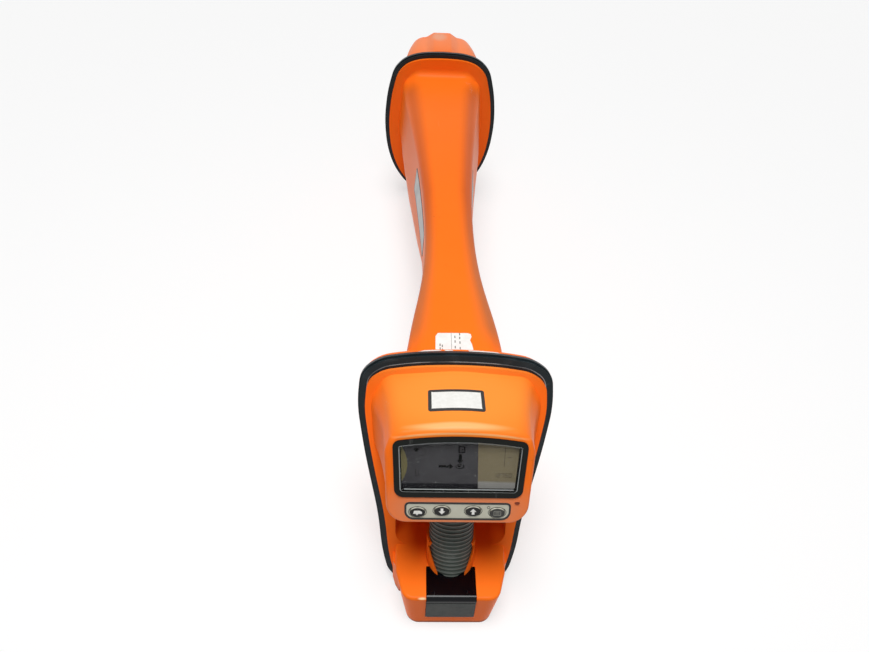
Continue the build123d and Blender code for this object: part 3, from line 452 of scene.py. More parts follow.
# %% Give each solid its finish
finishes = {
    body_finish: ["main_body"],
    cap_finish: ["front_cap"],
    bumper_finish: ["front_bumper", "rear_bumper"],
    bezel_finish: ["display_bezel", "sounder"],
    key_finish: ["trigger", "telemetry_antenna"],
    battery_finish: ["battery_pack"],
    keypad_finish: ["keypad_panel"],
    inner_finish: ["grip_core", "battery_bay", "rear_bulkhead", "front_bulkhead", "rear_antenna_frame",
                   "front_antenna_frame"],
    board_finish: ["display_board", "main_board"],
    component_finish: ["key_switches", "trigger_switch"],
    steel_finish: ["trigger_pin", "rear_housing_screws", "front_cap_screws", "display_board_screws",
                   "main_board_screws", "rear_antenna_screws", "front_antenna_screws"],
    contact_finish: ["battery_contacts", "bay_contacts"],
    ferrite_finish: ["rear_antenna_rods", "front_antenna_rods"],
    copper_finish: ["rear_antenna_windings", "front_antenna_windings"],
    cell_finish: ["battery_cells"],
    cable_finish: ["wiring_harness"],
    foam_finish: ["lcd_spacers"],
    guide_finish: ["lcd_backlight"],
}


def dress(node, finish):
    nodes[node].data.materials.clear()
    nodes[node].data.materials.append(finish)


for finish, names in finishes.items():
    for name in names:
        dress(name, finish)
print("dressed", sum(len(names) for names in finishes.values()), "of", len(nodes), "solids")

# %% [markdown]
# ## Where the face is
# The display face leans back, and the keys move straight into it, so the keys' own travel gives its directions.
# With those, a place on the face is three plain numbers: across, up the face, and out of it.

# %% Directions of the face and how far a solid reaches
forward, upward, down = Vector((0.0, 1.0, 0.0)), Vector((0.0, 0.0, 1.0)), Vector((0.0, 0.0, -1.0))
travels = {joint["name"]: joint["axis"] for joint in frame["record"]["behaviour"]["joints"]}
face_out = -Vector(travels["down_key_press"]).normalized()
face_right = Vector((1.0, 0.0, 0.0))
face_up = face_out.cross(face_right)
face_frame = Matrix((face_right, face_up, face_out)).transposed().to_4x4()
face_lean = face_right.cross(forward).angle(face_out)


def reach(node, way):
    """Lowest and highest distance of a solid along a direction."""
    along = [vertex.co.dot(way) for vertex in nodes[node].data.vertices]
    return min(along), max(along)


def middle(node):
    """Middle of a solid across, up and out of the face."""
    return Vector([sum(reach(node, way)) / 2 for way in (face_right, face_up, face_out)])


def on_face(across, up, out, turn=0.0):
    """Moves a flat shape drawn round the origin to a place on the face."""
    return face_frame @ Matrix.Translation((across, up, out)) @ Matrix.Rotation(turn, 4, "Z")


print("the face leans", round(face_lean * 180 / pi, 1), "degrees from level")

# %% Finishes that follow the face
# The housing's painted highlight follows an arch over the bezel.
bezel_arch = 278 * mm
bezel_apex = reach("display_bezel", face_up)[1]
arch = (face_lean, bezel_arch, bezel_apex)
housing_finish = orange_plastic(
    "housing_orange", rgb(254, 115, 27), scratch_share=0.25, dirt_share=0.2, scuffs_and_painted_light=housing_scuffs_and_painted_light, arch=arch)
dress("rear_housing", housing_finish)
# The grip's ribs get a painted highlight along their crests.
rib_start, rib_pitch = -118.4 * mm, 3.7 * mm
ribs = (face_lean, rib_start, rib_pitch)
grip_finish = dark_rubber(
    "grip_rubber", rgb(60, 68, 62), rgb(112, 116, 110), dust_share=0.4, grain_scale=1300.0, base_roughness=0.36,
    ribs=ribs)
dress("grip_sleeve", grip_finish)
print("bezel apex", round(bezel_apex / mm, 1), "mm up, ribs every", round(rib_pitch / mm, 1), "mm")

# %% [markdown]
# ## Tools for thin pieces
# Prints, labels and rims are thin plates. Each starts as one flat face, from a grid, a circle or a few points, is
# hollowed to a band or cut into strips where it has to bend, and is then given a thickness by extruding it.

# %% Flat shapes
def rounded_plate(width, height, radius, place):
    shape = bmesh.new()
    bmesh.ops.create_grid(shape, x_segments=1, y_segments=1, size=0.5)
    bmesh.ops.scale(shape, verts=shape.verts, vec=(width, height, 1.0))
    bmesh.ops.bevel(
        shape, geom=shape.verts[:], offset=radius, affect="VERTICES", segments=5, profile=0.5, material=-1)
    bmesh.ops.transform(shape, matrix=place, verts=shape.verts)
    return shape


def oval_plate(width, height, place):
    shape = bmesh.new()
    bmesh.ops.create_circle(shape, cap_ends=True, segments=40, radius=0.5)
    bmesh.ops.scale(shape, verts=shape.verts, vec=(width, height, 1.0))
    bmesh.ops.transform(shape, matrix=place, verts=shape.verts)
    return shape


def drawn_plate(points, place):
    """One face through a few points in millimetres."""
    shape = bmesh.new()
    shape.faces.new([shape.verts.new((x * mm, y * mm, 0.0)) for x, y in points])
    bmesh.ops.transform(shape, matrix=place, verts=shape.verts)
    return shape


# %% Bands, thickness and joining
def edge_band(shape, width):
    """Cuts a band of that width along the edge of a flat shape, and gives the band's faces."""
    made = bmesh.ops.inset_region(
        shape, faces=shape.faces[:], thickness=width, use_even_offset=True, use_boundary=True)
    return made["faces"]


def second_finish(faces):
    """Gives faces the second of the finishes that their piece is kept with."""
    for face in faces:
        face.material_index = 1


def hollow(shape, width):
    """Leaves only a band of that width along the edge."""
    inside = shape.faces[:]
    edge_band(shape, width)
    bmesh.ops.delete(shape, geom=inside, context="FACES")
    return shape


def thicken(shape, way, height):
    made = bmesh.ops.extrude_face_region(shape, geom=shape.faces[:])
    moved = [item for item in made["geom"] if isinstance(item, bmesh.types.BMVert)]
    bmesh.ops.translate(shape, verts=moved, vec=way * height)
    return shape


def add_to(whole, *parts):
    """Joins more shapes into a first one."""
    for part in parts:
        mesh = bpy.data.meshes.new("joined")
        part.to_mesh(mesh)
        part.free()
        whole.from_mesh(mesh)
        bpy.data.meshes.remove(mesh)


# %% Keeping a shape as a piece
def keep(shape, name, finish, body, slot, *more_finishes):
    """Makes a shape a piece that rides on a body."""
    bmesh.ops.recalc_face_normals(shape, faces=shape.faces)
    mesh = bpy.data.meshes.new(name)
    shape.to_mesh(mesh)
    shape.free()
    for layer in (finish, *more_finishes):
        mesh.materials.append(layer)
    piece = add_object(name, mesh)
    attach(piece, body)


# %% Outlines taken from a solid
def merged_copy(node):
    shape = bmesh.new()
    shape.from_mesh(nodes[node].data)
    bmesh.ops.remove_doubles(shape, verts=shape.verts, dist=1e-6)
    return shape


def longest_loop(shape):
    """The longest closed row of open edges."""
    left = {edge for edge in shape.edges if edge.is_boundary}
    loops = []
    while left:
        loop = [left.pop()]
        for edge in loop:
            more = [other for vert in edge.verts for other in vert.link_edges if other in left]
            left.difference_update(more)
            loop += more
        loops.append(loop)
    return max(loops, key=lambda loop: sum(edge.calc_length() for edge in loop))


def top_outline(node, way):
    """The outer edge of a solid's highest level, filled as one face."""
    shape = merged_copy(node)
    top = reach(node, way)[1]
    lower = [vert for vert in shape.verts if vert.co.dot(way) < top - 0.02 * mm]
    bmesh.ops.delete(shape, geom=lower, context="VERTS")
    outer = set(longest_loop(shape))
    bmesh.ops.delete(shape, geom=shape.faces[:], context="FACES_ONLY")
    bmesh.ops.delete(shape, geom=[edge for edge in shape.edges if edge not in outer], context="EDGES")
    bmesh.ops.contextual_create(shape, geom=shape.edges[:])
    return shape


# %% Laying a thin shape on a curved solid
def cut_up(shape, way, start, stop, pitch):
    """Cuts a flat shape into strips, so that it can bend."""
    for i in range(int((stop - start) / pitch) + 1):
        whole = shape.verts[:] + shape.edges[:] + shape.faces[:]
        bmesh.ops.bisect_plane(shape, geom=whole, plane_co=way * (start + i * pitch), plane_no=way)


def skin_of(node):
    """A solid's surface, ready for rays to meet it."""
    solid = merged_copy(node)
    skin = BVHTree.FromBMesh(solid)
    solid.free()
    return skin


def hit(skin, start, way):
    """Where a ray from a point first meets a skin."""
    return skin.ray_cast(Vector(start), way)[0]


def lay_on(shape, node, way, lift):
    """Drops each point onto a solid along a direction and leaves it a little above the surface."""
    skin = skin_of(node)
    for vert in shape.verts:
        vert.co = hit(skin, vert.co, way) - way * lift


print("plate tools ready")

# %% [markdown]
# ## Printed colours
# Prints and labels need plain inks. They still aren't flat: paper is a little dirty, ink is a little worn.

# %% Inks and papers
white_ink = mottled("white_ink", rgb(232, 231, 227), rgb(224, 223, 218), 300.0, 0.4)
black_ink = mottled("black_ink", rgb(18, 18, 18), rgb(24, 24, 24), 400.0, 0.4)
display_ink = mottled("display_ink", rgb(5, 5, 6), rgb(9, 9, 10), 400.0, 0.6, shine=0.1)
grey_ink = mottled("grey_ink", rgb(22, 21, 20), rgb(30, 29, 27), 400.0, 0.5)
faded_ink = mottled("faded_ink", rgb(122, 121, 114), rgb(108, 107, 100), 400.0, 0.5)
label_paper = mottled("label_paper", rgb(236, 235, 232), rgb(228, 226, 222), 160.0, 0.55)
silver_film = mottled("silver_film", rgb(196, 198, 197), rgb(178, 181, 182), 60.0, 0.35)
panel_grey = mottled("panel_grey", rgb(44, 47, 44), rgb(38, 41, 39), 220.0, 0.6)
bumper_highlight_grey = mottled("bumper_highlight_grey", rgb(150, 155, 158), rgb(62, 68, 72), 40.0, 0.35)
print("inks:", white_ink.name, black_ink.name, label_paper.name, silver_film.name)

# %% [markdown]
# ## Liquid crystal panel
# Two thirds of the panel are dark, the rest shows the khaki of the reflector behind it, and a reflection of the
# sky greys its lower corner. That is colour by place, so the shader turns the piece's coordinates into the face's
# own directions and switches between tones at fixed shares of the panel's width and height.

# %% Panel finish
panel_left, panel_right = reach("lcd_panel", face_right)
panel_low, panel_high = reach("lcd_panel", face_up)
panel_wide = panel_right - panel_left
panel_tall = panel_high - panel_low


def panel_glass():
    finish, sockets, place = new_finish("lcd_glass", IOR=1.5, Specular_IOR_Level=0.2)
    across, up = leaning_axes(place, face_lean)[:2]
    share_across = (across - panel_left) / panel_wide
    share_up = (up - panel_low) / panel_tall
    cloud = speckle(place, 70.0, 4.0)
    grey = blend_colour(speckle(place, 30.0, 3.0), rgb(55, 54, 57), rgb(78, 77, 80))
    khaki = blend_colour(speckle(place, 24.0, 3.0), rgb(128, 116, 88), rgb(146, 136, 108))
    lit = step(share_across + 0.02 * share_up, 0.655, 0.663)
    colour = blend_colour(lit, grey, khaki)
    wedge = between(share_up + 0.05 * share_across, 0.0, 0.22, 0.03) * lit
    colour = blend_colour(wedge * 0.75, colour, rgb(172, 173, 172))
    band = between(share_up, 0.05, 0.14, 0.01) * (1 - lit)
    colour = blend_colour(band * 0.95, colour, rgb(9, 9, 18))
    bow = step(share_across + (share_up - 0.5) * (share_up - 0.5) * 0.4, 0.078, 0.084)
    colour = blend_colour(bow, rgb(124, 116, 78), colour)
    place.feed(sockets["Base Color"], colour)
    place.feed(sockets["Roughness"], 0.3 + 0.1 * cloud)
    return finish


dress("lcd_panel", panel_glass())
print("panel", round(panel_wide / mm, 1), "by", round(panel_tall / mm, 1), "mm")

# %% [markdown]
# ## Marks on the panel
# The display is on: two arrows, a small frame above them and an oval sight where they meet, and a faint row of
# figures on the right. The marks are thin black plates on the panel. Figures come from one function that lays out
# the seven bars of a digit.

# %% Arrows and frames
mark_level = reach("lcd_panel", face_out)[1] + 0.05 * mm
mark_thickness = 0.12 * mm


def panel_place(share_across, share_up):
    """A place on the panel, from shares of its width and height."""
    return panel_left + share_across * panel_wide, panel_low + share_up * panel_tall


def mark_at(share_across, share_up, turn=0.0):
    return on_face(*panel_place(share_across, share_up), mark_level, turn)


def arrow(length, shaft, head, head_length):
    """Points of an arrow that points up, with its middle at the origin."""
    tip, neck = length / 2, length / 2 - head_length
    right = [(shaft / 2, -tip), (shaft / 2, neck), (head / 2, neck)]
    return [(0, tip)] + [(-x, y) for x, y in reversed(right)] + right


marks = drawn_plate(arrow(7.6, 2.4, 5.2, 2.8), mark_at(0.503, 0.62, pi))
add_to(
    marks,
    drawn_plate(arrow(10.6, 2.0, 4.8, 2.8), mark_at(0.392, 0.475, -pi / 2)),
    hollow(oval_plate(6.4 * mm, 3.8 * mm, mark_at(0.503, 0.475)), 0.6 * mm),
    oval_plate(2.2 * mm, 1.6 * mm, mark_at(0.498, 0.475)),
    hollow(rounded_plate(5.0 * mm, 5.6 * mm, 0.5 * mm, mark_at(0.512, 0.80)), 1.0 * mm),
    rounded_plate(1.8 * mm, 1.3 * mm, 0.2 * mm, mark_at(0.512, 0.80)),
    drawn_plate(arrow(3.4, 2.0, 5.6, 2.0), mark_at(0.15, 0.79)),
)
keep(thicken(marks, face_out, mark_thickness), "display_marks", display_ink, "casing", "key_black")
print("display marks at", round(mark_level / mm, 2), "mm out")

# %% Bars of a figure
digit_bars = {"0": "abcdef", "1": "bc", "2": "abged", "5": "afgcd", "7": "abc"}
bar_places = {"a": (0, 1, 0), "b": (0.5, 0.5, 1), "c": (0.5, -0.5, 1), "d": (0, -1, 0), "e": (-0.5, -0.5, 1),
              "f": (-0.5, 0.5, 1), "g": (0, 0, 0)}
bar_step, bar_long, bar_thick = 1.7 * mm, 1.4 * mm, 0.3 * mm
corner = 0.1 * mm


def digit(figure, across, up):
    """The bars of one figure, each a thin plate."""
    shape = bmesh.new()
    for bar in digit_bars[figure]:
        x, y, upright = bar_places[bar]
        place = on_face(across + x * bar_step, up + y * bar_step, mark_level, upright * pi / 2)
        add_to(shape, rounded_plate(bar_long, bar_thick, corner, place))
    return shape


print("figures that can be drawn:", ", ".join(digit_bars))

# %% Faint icons and figures
digit_pitch = 2.8 * mm
start_across, figure_up = panel_place(0.79, 0.31)
faint = hollow(oval_plate(7.4 * mm, 6.0 * mm, mark_at(0.19, 0.74)), 0.5 * mm)
for share in (0.15, 0.175):
    add_to(faint, rounded_plate(0.8 * mm, 5.0 * mm, corner, mark_at(share, 0.36)))
add_to(faint, rounded_plate(3.6 * mm, 0.6 * mm, corner, mark_at(0.162, 0.29)))
for i, figure in enumerate("12750"):
    add_to(faint, digit(figure, start_across + i * digit_pitch, figure_up))
add_to(
    faint,
    rounded_plate(0.25 * mm, 15 * mm, corner, mark_at(0.86, 0.66)),
    rounded_plate(2.6 * mm, bar_thick, corner, mark_at(0.9, 0.66)),
)
keep(thicken(faint, face_out, mark_thickness), "faint_marks", grey_ink, "casing", "part_grey")
print("faint figures start", round(start_across / mm, 1), "mm across")

# %% [markdown]
# ## Display window
# A clear plate closes the display. Its edge is cut at a slant, and a pale line of light runs along the foot and
# the sides; that line is a painted highlight. It could be drawn in the shader, but a slant is a shape: the plate
# starts from the outline of the window solid, and an inset with a depth makes the slanted band, which gets its
# own, whiter finish that paints the highlight.

# %% Clear finishes
dust_grey = (0.6, 0.6, 0.6, 1.0)


def clear_plate(name, tone, clear_share, smear_share, fade=0.0):
    """See-through plastic with smears and dust, fainter by a share towards the top of the panel."""
    finish, sockets, place = new_finish(name, IOR=1.49, Specular_IOR_Level=0.2)
    smear = step(speckle(place, 55.0, 5.0, 0.7), 0.52, 0.8)
    dust = step(speckle(place, 900.0, 1.0), 0.745, 0.775)
    place.feed(sockets["Base Color"], blend_colour(dust, tone, dust_grey))
    place.feed(sockets["Roughness"], 0.06 + 0.16 * smear)
    up = leaning_axes(place, face_lean)[1]
    shown = 1 - fade * step(up, panel_high - 9 * mm, panel_high - 3 * mm)
    place.feed(sockets["Alpha"], ((clear_share + smear_share * smear) * shown + 0.5 * dust).at_most(1.0))
    return finish


# The second colour is the pale colour of the painted highlight on the lens's slanted edge.
clear_tone, slant_highlight_tone = (0.05, 0.05, 0.05, 1.0), (0.62, 0.66, 0.66, 1.0)
window_finish = clear_plate("display_window", clear_tone, clear_share=0.04, smear_share=0.03)
# The slant's pale, half clear finish is a painted highlight, fainter towards the top.
slant_finish = clear_plate("window_slant", slant_highlight_tone, clear_share=0.55, smear_share=0.3, fade=0.65)
dress("display_window", window_finish)
print("clear finishes:", window_finish.name, slant_finish.name)

# %% Lens
lens_thickness = 0.3 * mm
slant_wide, slant_rise = 0.7 * mm, 0.3 * mm
window_top = reach("display_window", face_out)[1]
lens = thicken(top_outline("display_window", face_out), face_out, lens_thickness)
bmesh.ops.recalc_face_normals(lens, faces=lens.faces)
top_from = window_top + lens_thickness - 0.05 * mm
lens_top = [face for face in lens.faces if face.calc_center_median().dot(face_out) > top_from]
slant = bmesh.ops.inset_region(
    lens, faces=lens_top, thickness=slant_wide, depth=slant_rise, use_even_offset=True)["faces"]
second_finish(slant)
keep(lens, "display_lens", window_finish, "casing", "window_clear", slant_finish)
print("slanted faces round the lens:", len(slant))

# %% Second painted highlight along the foot of the lens
window_left, window_right = reach("display_window", face_right)
window_foot = reach("display_window", face_up)[0]
line_inset, line_up, line_out = 4.5 * mm, 2.8 * mm, 0.55 * mm
line_long = window_right - window_left - 2 * line_inset
line_place = on_face((window_left + window_right) / 2, window_foot + line_up, window_top + line_out)
# The foot line is a pale plate that paints a second highlight.
foot_line = rounded_plate(line_long, 0.7 * mm, 0.3 * mm, line_place)
keep(thicken(foot_line, face_out, 0.1 * mm), "lens_foot_line", slant_finish, "casing", "window_clear")
print("foot line", round(line_long / mm, 1), "mm long")

# %% [markdown]
# ## Keypad prints
# The overlay has a black outline, a thin ring round each key, a small circle beside the last one, and white or
# grey signs on the keys. The shader could draw them all, but thin plates keep a sharp edge in the meshes, so it
# draws only the inked ovals. Outline and rings stay on the casing; each sign rides on its own key and moves with
# it.

# %% Outline and rings
key_names = ("menu_key", "down_key", "up_key", "power_key")
film_top = reach("keypad_panel", face_out)[1]
rim = hollow(top_outline("keypad_panel", face_out), 1.4 * mm)
keep(thicken(rim, face_out, 0.25 * mm), "keypad_outline", black_ink, "casing", "key_black")
ring_wide, ring_tall, ring_line = 13.6 * mm, 9.2 * mm, 0.4 * mm
dot_wide, dot_line = 2.3 * mm, 0.35 * mm
rings = bmesh.new()
for name in key_names:
    across, up = middle(name)[:2]
    add_to(rings, hollow(oval_plate(ring_wide, ring_tall, on_face(across, up, film_top)), ring_line))
across, up = middle("power_key")[:2]
dot_place = on_face(across - 6.6 * mm, up + 4.2 * mm, film_top)
add_to(rings, hollow(oval_plate(dot_wide, dot_wide, dot_place), dot_line))
keep(thicken(rings, face_out, 0.1 * mm), "key_rings", black_ink, "casing", "key_black")
print("rings round", len(key_names), "keys")

# %% Printed ovals
def printed_oval(node, width, height, film, ink):
    """A finish with an oval of ink in the middle of one solid's face."""
    finish, sockets, place = new_finish(node + "_print", IOR=1.48, Specular_IOR_Level=0.3)
    across, up = leaning_axes(place, face_lean)[:2]
    middle_across, middle_up = middle(node)[:2]
    share_across = (across - middle_across) / (width / 2)
    share_up = (up - middle_up) / (height / 2)
    inked = 1 - step(share_across * share_across + share_up * share_up, 0.9, 1.1)
    cloud = speckle(place, 300.0, 3.0)
    patchy = blend_colour(step(cloud, 0.4, 0.7), ink, scaled(ink, 1.25, 1.25, 1.25))
    place.feed(sockets["Base Color"], blend_colour(inked, film, patchy))
    place.feed(sockets["Roughness"], 0.36 + 0.14 * cloud)
    place.feed(sockets["Normal"], bumps(speckle(place, 1400.0, 2.0), 0.1))
    return finish


film_tone, lamp_film, lamp_ink = rgb(190, 188, 172), rgb(214, 112, 62), rgb(116, 48, 24)
key_inks = dict.fromkeys(key_names, rgb(26, 25, 24)) | {"power_key": rgb(52, 52, 50)}
for name in key_names:
    dress(name, printed_oval(name, width=11.3 * mm, height=7.6 * mm, film=film_tone, ink=key_inks[name]))
lamp_print = printed_oval("status_lamp", width=3.8 * mm, height=2.6 * mm, film=lamp_film, ink=lamp_ink)
dress("status_lamp", lamp_print)
print("printed:", ", ".join(key_names), "and the lamp")

# %% Signs on the keys
bubble = [
    (-3.2, -1.0), (-1.2, -1.0), (-0.4, -2.2), (0.6, -1.0), (3.3, -1.0), (3.3, 0.6), (1.4, 1.7), (-2.6, 1.5)]
key_arrow = arrow(4.9, 2.0, 4.6, 2.5)


def sign(key, shape_at, finish, slot):
    """A raised print on a key, which moves with it."""
    across, up = middle(key)[:2]
    top = reach(key, face_out)[1] - 0.05 * mm
    shape = shape_at(across, up, top)
    keep(thicken(shape, face_out, 0.2 * mm), key + "_sign", finish, key, slot)


def screen_sign(across, up, top):
    shape = hollow(rounded_plate(5.6 * mm, 4.0 * mm, 0.4 * mm, on_face(across, up, top)), 0.6 * mm)
    for lift in (-0.55, 0.55):
        add_to(shape, rounded_plate(3.2 * mm, 0.6 * mm, corner, on_face(across, up + lift * mm, top)))
    return shape


sign("menu_key", lambda *place: drawn_plate(bubble, on_face(*place)), white_ink, "keypad_grey")
sign("down_key", lambda *place: drawn_plate(key_arrow, on_face(*place, pi)), white_ink, "keypad_grey")
sign("up_key", lambda *place: drawn_plate(key_arrow, on_face(*place)), white_ink, "keypad_grey")
sign("power_key", screen_sign, faded_ink, "part_grey")
print("signs on the keys ready")

# %% [markdown]
# ## Painted highlight on the rear bumper
# A thin pale line of light runs round the rear bumper where its rubber meets the housing. It is a painted
# highlight: a pale ring laid on the rubber. It could be a curve with a thickness, but the bumper's own outline is
# at
# hand: its face is cut back by an even band, and what is left is hollowed to a narrow ring.

# %% Painted highlight ring on the bumper
# A pale ring, 4.6 mm in from the edge of the bumper's face, paints the highlight.
highlight_inset, highlight_wide = 4.6 * mm, 0.6 * mm
edge_highlight = top_outline("rear_bumper", face_out)
bmesh.ops.delete(edge_highlight, geom=edge_band(edge_highlight, highlight_inset), context="FACES")
hollow(edge_highlight, highlight_wide)
keep(thicken(edge_highlight, face_out, 0.3 * mm), "bumper_edge_highlight", bumper_highlight_grey, "casing", "bumper_black")
print("edge_highlight", round(highlight_wide / mm, 1), "mm wide")

# %% [markdown]
# ## Labels
# A plate sits on the hood, a torn paper label on the neck behind the rear bumper, with scraps of another along its
# edge, and a long strip on each flank. All are plain. Each is cut into strips and dropped onto the solid that
# carries it, so that it follows the curve, and its lower side is let into the surface, so that no gap shows.

# %% Plate on the hood
above = 300 * mm
plate_wide, plate_long = 42 * mm, 22 * mm
hood_plate = rounded_plate(plate_wide, plate_long, 2.0 * mm, Matrix.Translation((-2.5 * mm, -287 * mm, above)))
second_finish(edge_band(hood_plate, 2.6 * mm))
cut_up(hood_plate, face_right, start=-24 * mm, stop=19 * mm, pitch=3 * mm)
cut_up(hood_plate, forward, start=-297 * mm, stop=-277 * mm, pitch=3 * mm)
lay_on(hood_plate, "rear_housing", down, lift=0.35 * mm)
keep(thicken(hood_plate, down, 0.6 * mm), "hood_plate", white_ink, "casing", "keypad_grey", black_ink)
print("hood plate", round(plate_wide / mm), "by", round(plate_long / mm), "mm")

# %% Torn label and scraps on the neck
torn_label = [
    (10, -205), (12.8, -206), (13.4, -209), (12.0, -213), (13.4, -217), (14.2, -222), (14.2, -227.6),
    (-15.8, -227.6), (-16.6, -222), (-16.4, -209), (-14.4, -205.5),
]
scraps = (
    [(-31, -235.6), (-26, -233.4), (-18, -233.0), (-12, -233.4), (-14, -235.0), (-24, -235.4)],
    [(-10, -233.2), (-4, -232.8), (-3, -234.4), (-9, -235.2)],
    [(9, -233.0), (20, -233.2), (33, -234.2), (34, -235.6), (22, -235.2), (10, -235.6)],
)
label_cuts = {"way": forward, "start": -229 * mm, "stop": -206 * mm, "pitch": 4 * mm}
label = drawn_plate(torn_label, Matrix.Translation((0.0, -1.5 * mm, above)))
for points in scraps:
    add_to(label, drawn_plate(points, Matrix.Translation((0.0, 0.0, above))))
cut_up(label, **label_cuts)
cut_up(label, face_right, start=-30 * mm, stop=32 * mm, pitch=5 * mm)
lay_on(label, "main_body", down, lift=0.2 * mm)
keep(thicken(label, down, 0.4 * mm), "torn_label", label_paper, "casing", "keypad_grey")
print("neck label with", len(scraps), "scraps")

# %% Rule and dashes on the label
dashes = (
    (-12.8, (-224, -220)),
    (-11.0, (-225, -221)),
    (-0.4, (-227, -222, -216, -211)),
    (3.6, (-223, -217, -212, -208)),
)
rule = rounded_plate(0.35 * mm, 24 * mm, 0.1 * mm, Matrix.Translation((-3.4 * mm, -217.5 * mm, above)))
for x, starts in dashes:
    for y in starts:
        add_to(rule, rounded_plate(0.9 * mm, 2.6 * mm, 0.2 * mm, Matrix.Translation((x * mm, y * mm, above))))
cut_up(rule, **label_cuts)
lay_on(rule, "main_body", down, lift=0.26 * mm)
keep(thicken(rule, down, 0.1 * mm), "label_rule", faded_ink, "casing", "part_grey")
print("dashes:", sum(len(starts) for x, starts in dashes))

# %% Strips on the flanks
strip_long, strip_tall = 132 * mm, 30 * mm
for side, name in ((1.0, "right_strip"), (-1.0, "left_strip")):
    upright = Matrix.Translation((side * above, 20 * mm, 148 * mm)) @ Matrix.Rotation(pi / 2, 4, "Y")
    strip = rounded_plate(strip_tall, strip_long, 4 * mm, upright)
    second_finish(edge_band(strip, 1.6 * mm))
    cut_up(strip, forward, start=-44 * mm, stop=84 * mm, pitch=7 * mm)
    cut_up(strip, upward, start=136 * mm, stop=160 * mm, pitch=6 * mm)
    inward = face_right * -side
    lay_on(strip, "main_body", inward, lift=0.25 * mm)
    keep(thicken(strip, inward, 0.5 * mm), name, silver_film, "casing", "keypad_grey", black_ink)
print("flank strips", round(strip_long / mm), "mm long")

# %% [markdown]
# ## Fillet at the front flange
# On the real moulding the top of the neck runs up into the front flange in a small hollow curve, which catches the
# light. The solid has a plain corner there, so a fillet fills it. Rays find the flange and the top of the neck, an
# arc is drawn at each of a row of stations across, and the arcs are bridged.

# %% Fillet
stations, station_gap, arc_steps = 12, 4 * mm, 12
full_radius, sunk = 10 * mm, 0.4 * mm
over_neck = (0.0, 200 * mm, 197 * mm)
body_skin = skin_of("main_body")
flange_y = hit(body_skin, over_neck, forward).y
fillet = bmesh.new()
loops = []
for i in range(-stations, stations + 1):
    x = i * station_gap
    radius = full_radius * (1 - 0.75 * (abs(i) / stations) ** 4)
    neck_top = hit(body_skin, (x, flange_y - radius, above), down).z
    arc = [(x, flange_y + sunk, neck_top - sunk)]
    for k in range(arc_steps + 1):
        turn = k * pi / 2 / arc_steps
        arc.append((x, flange_y - radius + radius * sin(turn), neck_top + radius - radius * cos(turn)))
    verts = [fillet.verts.new(point) for point in arc]
    loops.append([fillet.edges.new((verts[k - 1], verts[k])) for k in range(len(verts))])
for first, second in zip(loops, loops[1:]):
    bmesh.ops.bridge_loops(fillet, edges=first + second)
bmesh.ops.holes_fill(fillet, edges=fillet.edges, sides=0)
keep(fillet, "flange_fillet", body_finish, "casing", "body_orange")
print("front flange at", round(flange_y / mm, 1), "mm along")

# %% [markdown]
# ## End of the cap's rib
# The rib on top of the front cap runs back to the front bumper. In the solid it stops a few millimetres short,
# where the cap's flange is cut through, so a small end piece closes the slot. It is a rounded plate across the
# rib, with its top just under the rib's, and reaches from the bumper into the rib.

# %% Rib end
bumper_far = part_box("front_bumper")[1][1]
over_rib = (0.0, bumper_far + 4 * mm, above)
rib_top = hit(skin_of("front_cap"), over_rib, down).z
rib_wide, rib_deep, rib_long, rib_gap = 31.2 * mm, 9 * mm, 4.2 * mm, 0.3 * mm
end_place = Matrix.Translation((0.0, bumper_far - rib_gap, rib_top - rib_gap - rib_deep / 2))
rib_end = rounded_plate(rib_wide, rib_deep, 3.2 * mm, end_place @ Matrix.Rotation(pi / 2, 4, "X"))
keep(thicken(rib_end, forward, rib_long), "rib_end", cap_finish, "casing", "cap_orange")
print("rib top", round(rib_top / mm, 1), "mm up")

# %% [markdown]
# ## Battery end panel
# The end of the battery is gloss black with a dull grey panel on it. A second colour in the shader would do from
# afar, but the panel has an edge that catches light, so it is a rounded plate with a bevelled edge. It rides on
# the battery, so it slides out with it.

# %% Panel on the battery
nose_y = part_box("battery_pack")[0][1]
end_wide, end_tall, end_middle = 39 * mm, 24.6 * mm, 24.8 * mm
proud, edge_bevel = 0.5 * mm, 0.3 * mm
upright = Matrix.Translation((0.0, nose_y, end_middle)) @ Matrix.Rotation(pi / 2, 4, "X")
end_panel = rounded_plate(end_wide, end_tall, 1.0 * mm, upright)
thicken(end_panel, -forward, proud)
outer = [edge for edge in end_panel.edges if all(vert.co.y < nose_y - 0.4 * mm for vert in edge.verts)]
bmesh.ops.bevel(
    end_panel, geom=outer, offset=edge_bevel, affect="EDGES", segments=2, profile=0.5, material=-1)
keep(end_panel, "battery_panel", panel_grey, "battery", "battery_black")
print("battery panel at", round(nose_y / mm, 1), "mm along")

# %% [markdown]
# ## Floor and light
# The locator lies on a white table. The floor is pale and catches the shadow; about three fifths of what the
# camera sees of it is its own plain white, so the table reads as white without more light on the object. Light
# comes from a wide soft sun high up, a little to the left, from a small lamp over the hood, and faintly from the
# room all round. The camera, mirrors and glass see the room as plain white.

# %% Floor
white = (1.0, 1.0, 1.0, 1.0)
table_tones = (0.78, 0.78, 0.78, 1.0), (0.82, 0.82, 0.82, 1.0)
seen_tone, seen_glow = (0.96, 0.96, 0.96, 1.0), 0.62
floor_half = 4.0


def rays_that_show(wire):
    """1 for rays that show the background: straight from the camera, off a mirror or through glass."""
    rays = wire.node("ShaderNodeLightPath").socket.node.outputs
    straight, mirrored, through = [
        Wire(rays[f"Is {kind} Ray"]) for kind in ("Camera", "Glossy", "Transmission")]
    return (straight + mirrored + through).at_most(1.0)


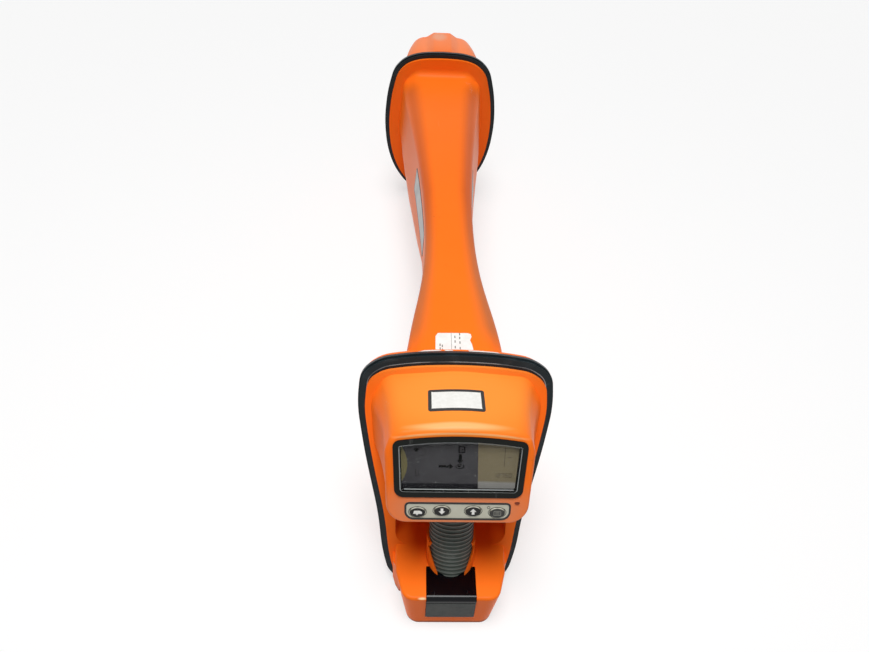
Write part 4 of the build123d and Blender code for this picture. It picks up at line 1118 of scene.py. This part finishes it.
def pale_floor():
    finish, sockets, place = new_finish("floor_white", Roughness=0.9)
    seen = rays_that_show(place)
    table = blend_colour(speckle(place, 3.0, 2.0), *table_tones)
    place.feed(sockets["Base Color"], blend_colour(seen, table, seen_tone))
    glow = place.node("ShaderNodeEmission", None, {"Color": white, "Strength": 1.0})
    shader = Wire(finish.node_tree.nodes["Principled BSDF"].outputs[0])
    mixed = place.node("ShaderNodeMixShader", None, {0: seen * seen_glow, 1: shader, 2: glow})
    place.feed(finish.node_tree.nodes["Material Output"].inputs["Surface"], mixed)
    return finish


floor_shape = bmesh.new()
bmesh.ops.create_grid(floor_shape, x_segments=2, y_segments=2, size=floor_half)
floor_mesh = bpy.data.meshes.new("floor")
floor_shape.to_mesh(floor_mesh)
floor_shape.free()
floor_mesh.materials.append(pale_floor())
floor = add_object("floor", floor_mesh)
print("floor", tuple(floor.dimensions))

# %% Sun and lamp
sun_data = bpy.data.lights.new("soft_sun", "SUN")
sun_data.energy = 2.3
sun_data.angle = radians(30)
sun = add_object("soft_sun", sun_data)
sun.rotation_euler = (radians(4), radians(-2), 0.0)
lamp_data = bpy.data.lights.new("near_lamp", "AREA")
lamp_data.shape = "DISK"
lamp_data.size = 0.5
lamp_data.energy = 2.4
lamp = add_object("near_lamp", lamp_data)
lamp.location = (-0.05, -0.32, 0.95)
print("sun", round(sun_data.energy, 2), "lamp", round(lamp_data.energy, 2))

# %% Room
room_light = 0.1
world = bpy.data.worlds.new("studio")
world.use_nodes = True
room = Wire(world.node_tree.nodes["Background"].outputs[0])
room.feed(room.socket.node.inputs["Color"], white)
room.feed(room.socket.node.inputs["Strength"], room_light)
backdrop = room.node("ShaderNodeBackground", None, {"Color": white, "Strength": 1.0})
mixed = room.node("ShaderNodeMixShader", None, {0: rays_that_show(room), 1: room, 2: backdrop})
room.feed(world.node_tree.nodes["World Output"].inputs["Surface"], mixed)
bpy.context.scene.world = world
bpy.context.scene.view_settings.view_transform = "Standard"
print("room light", room_light)
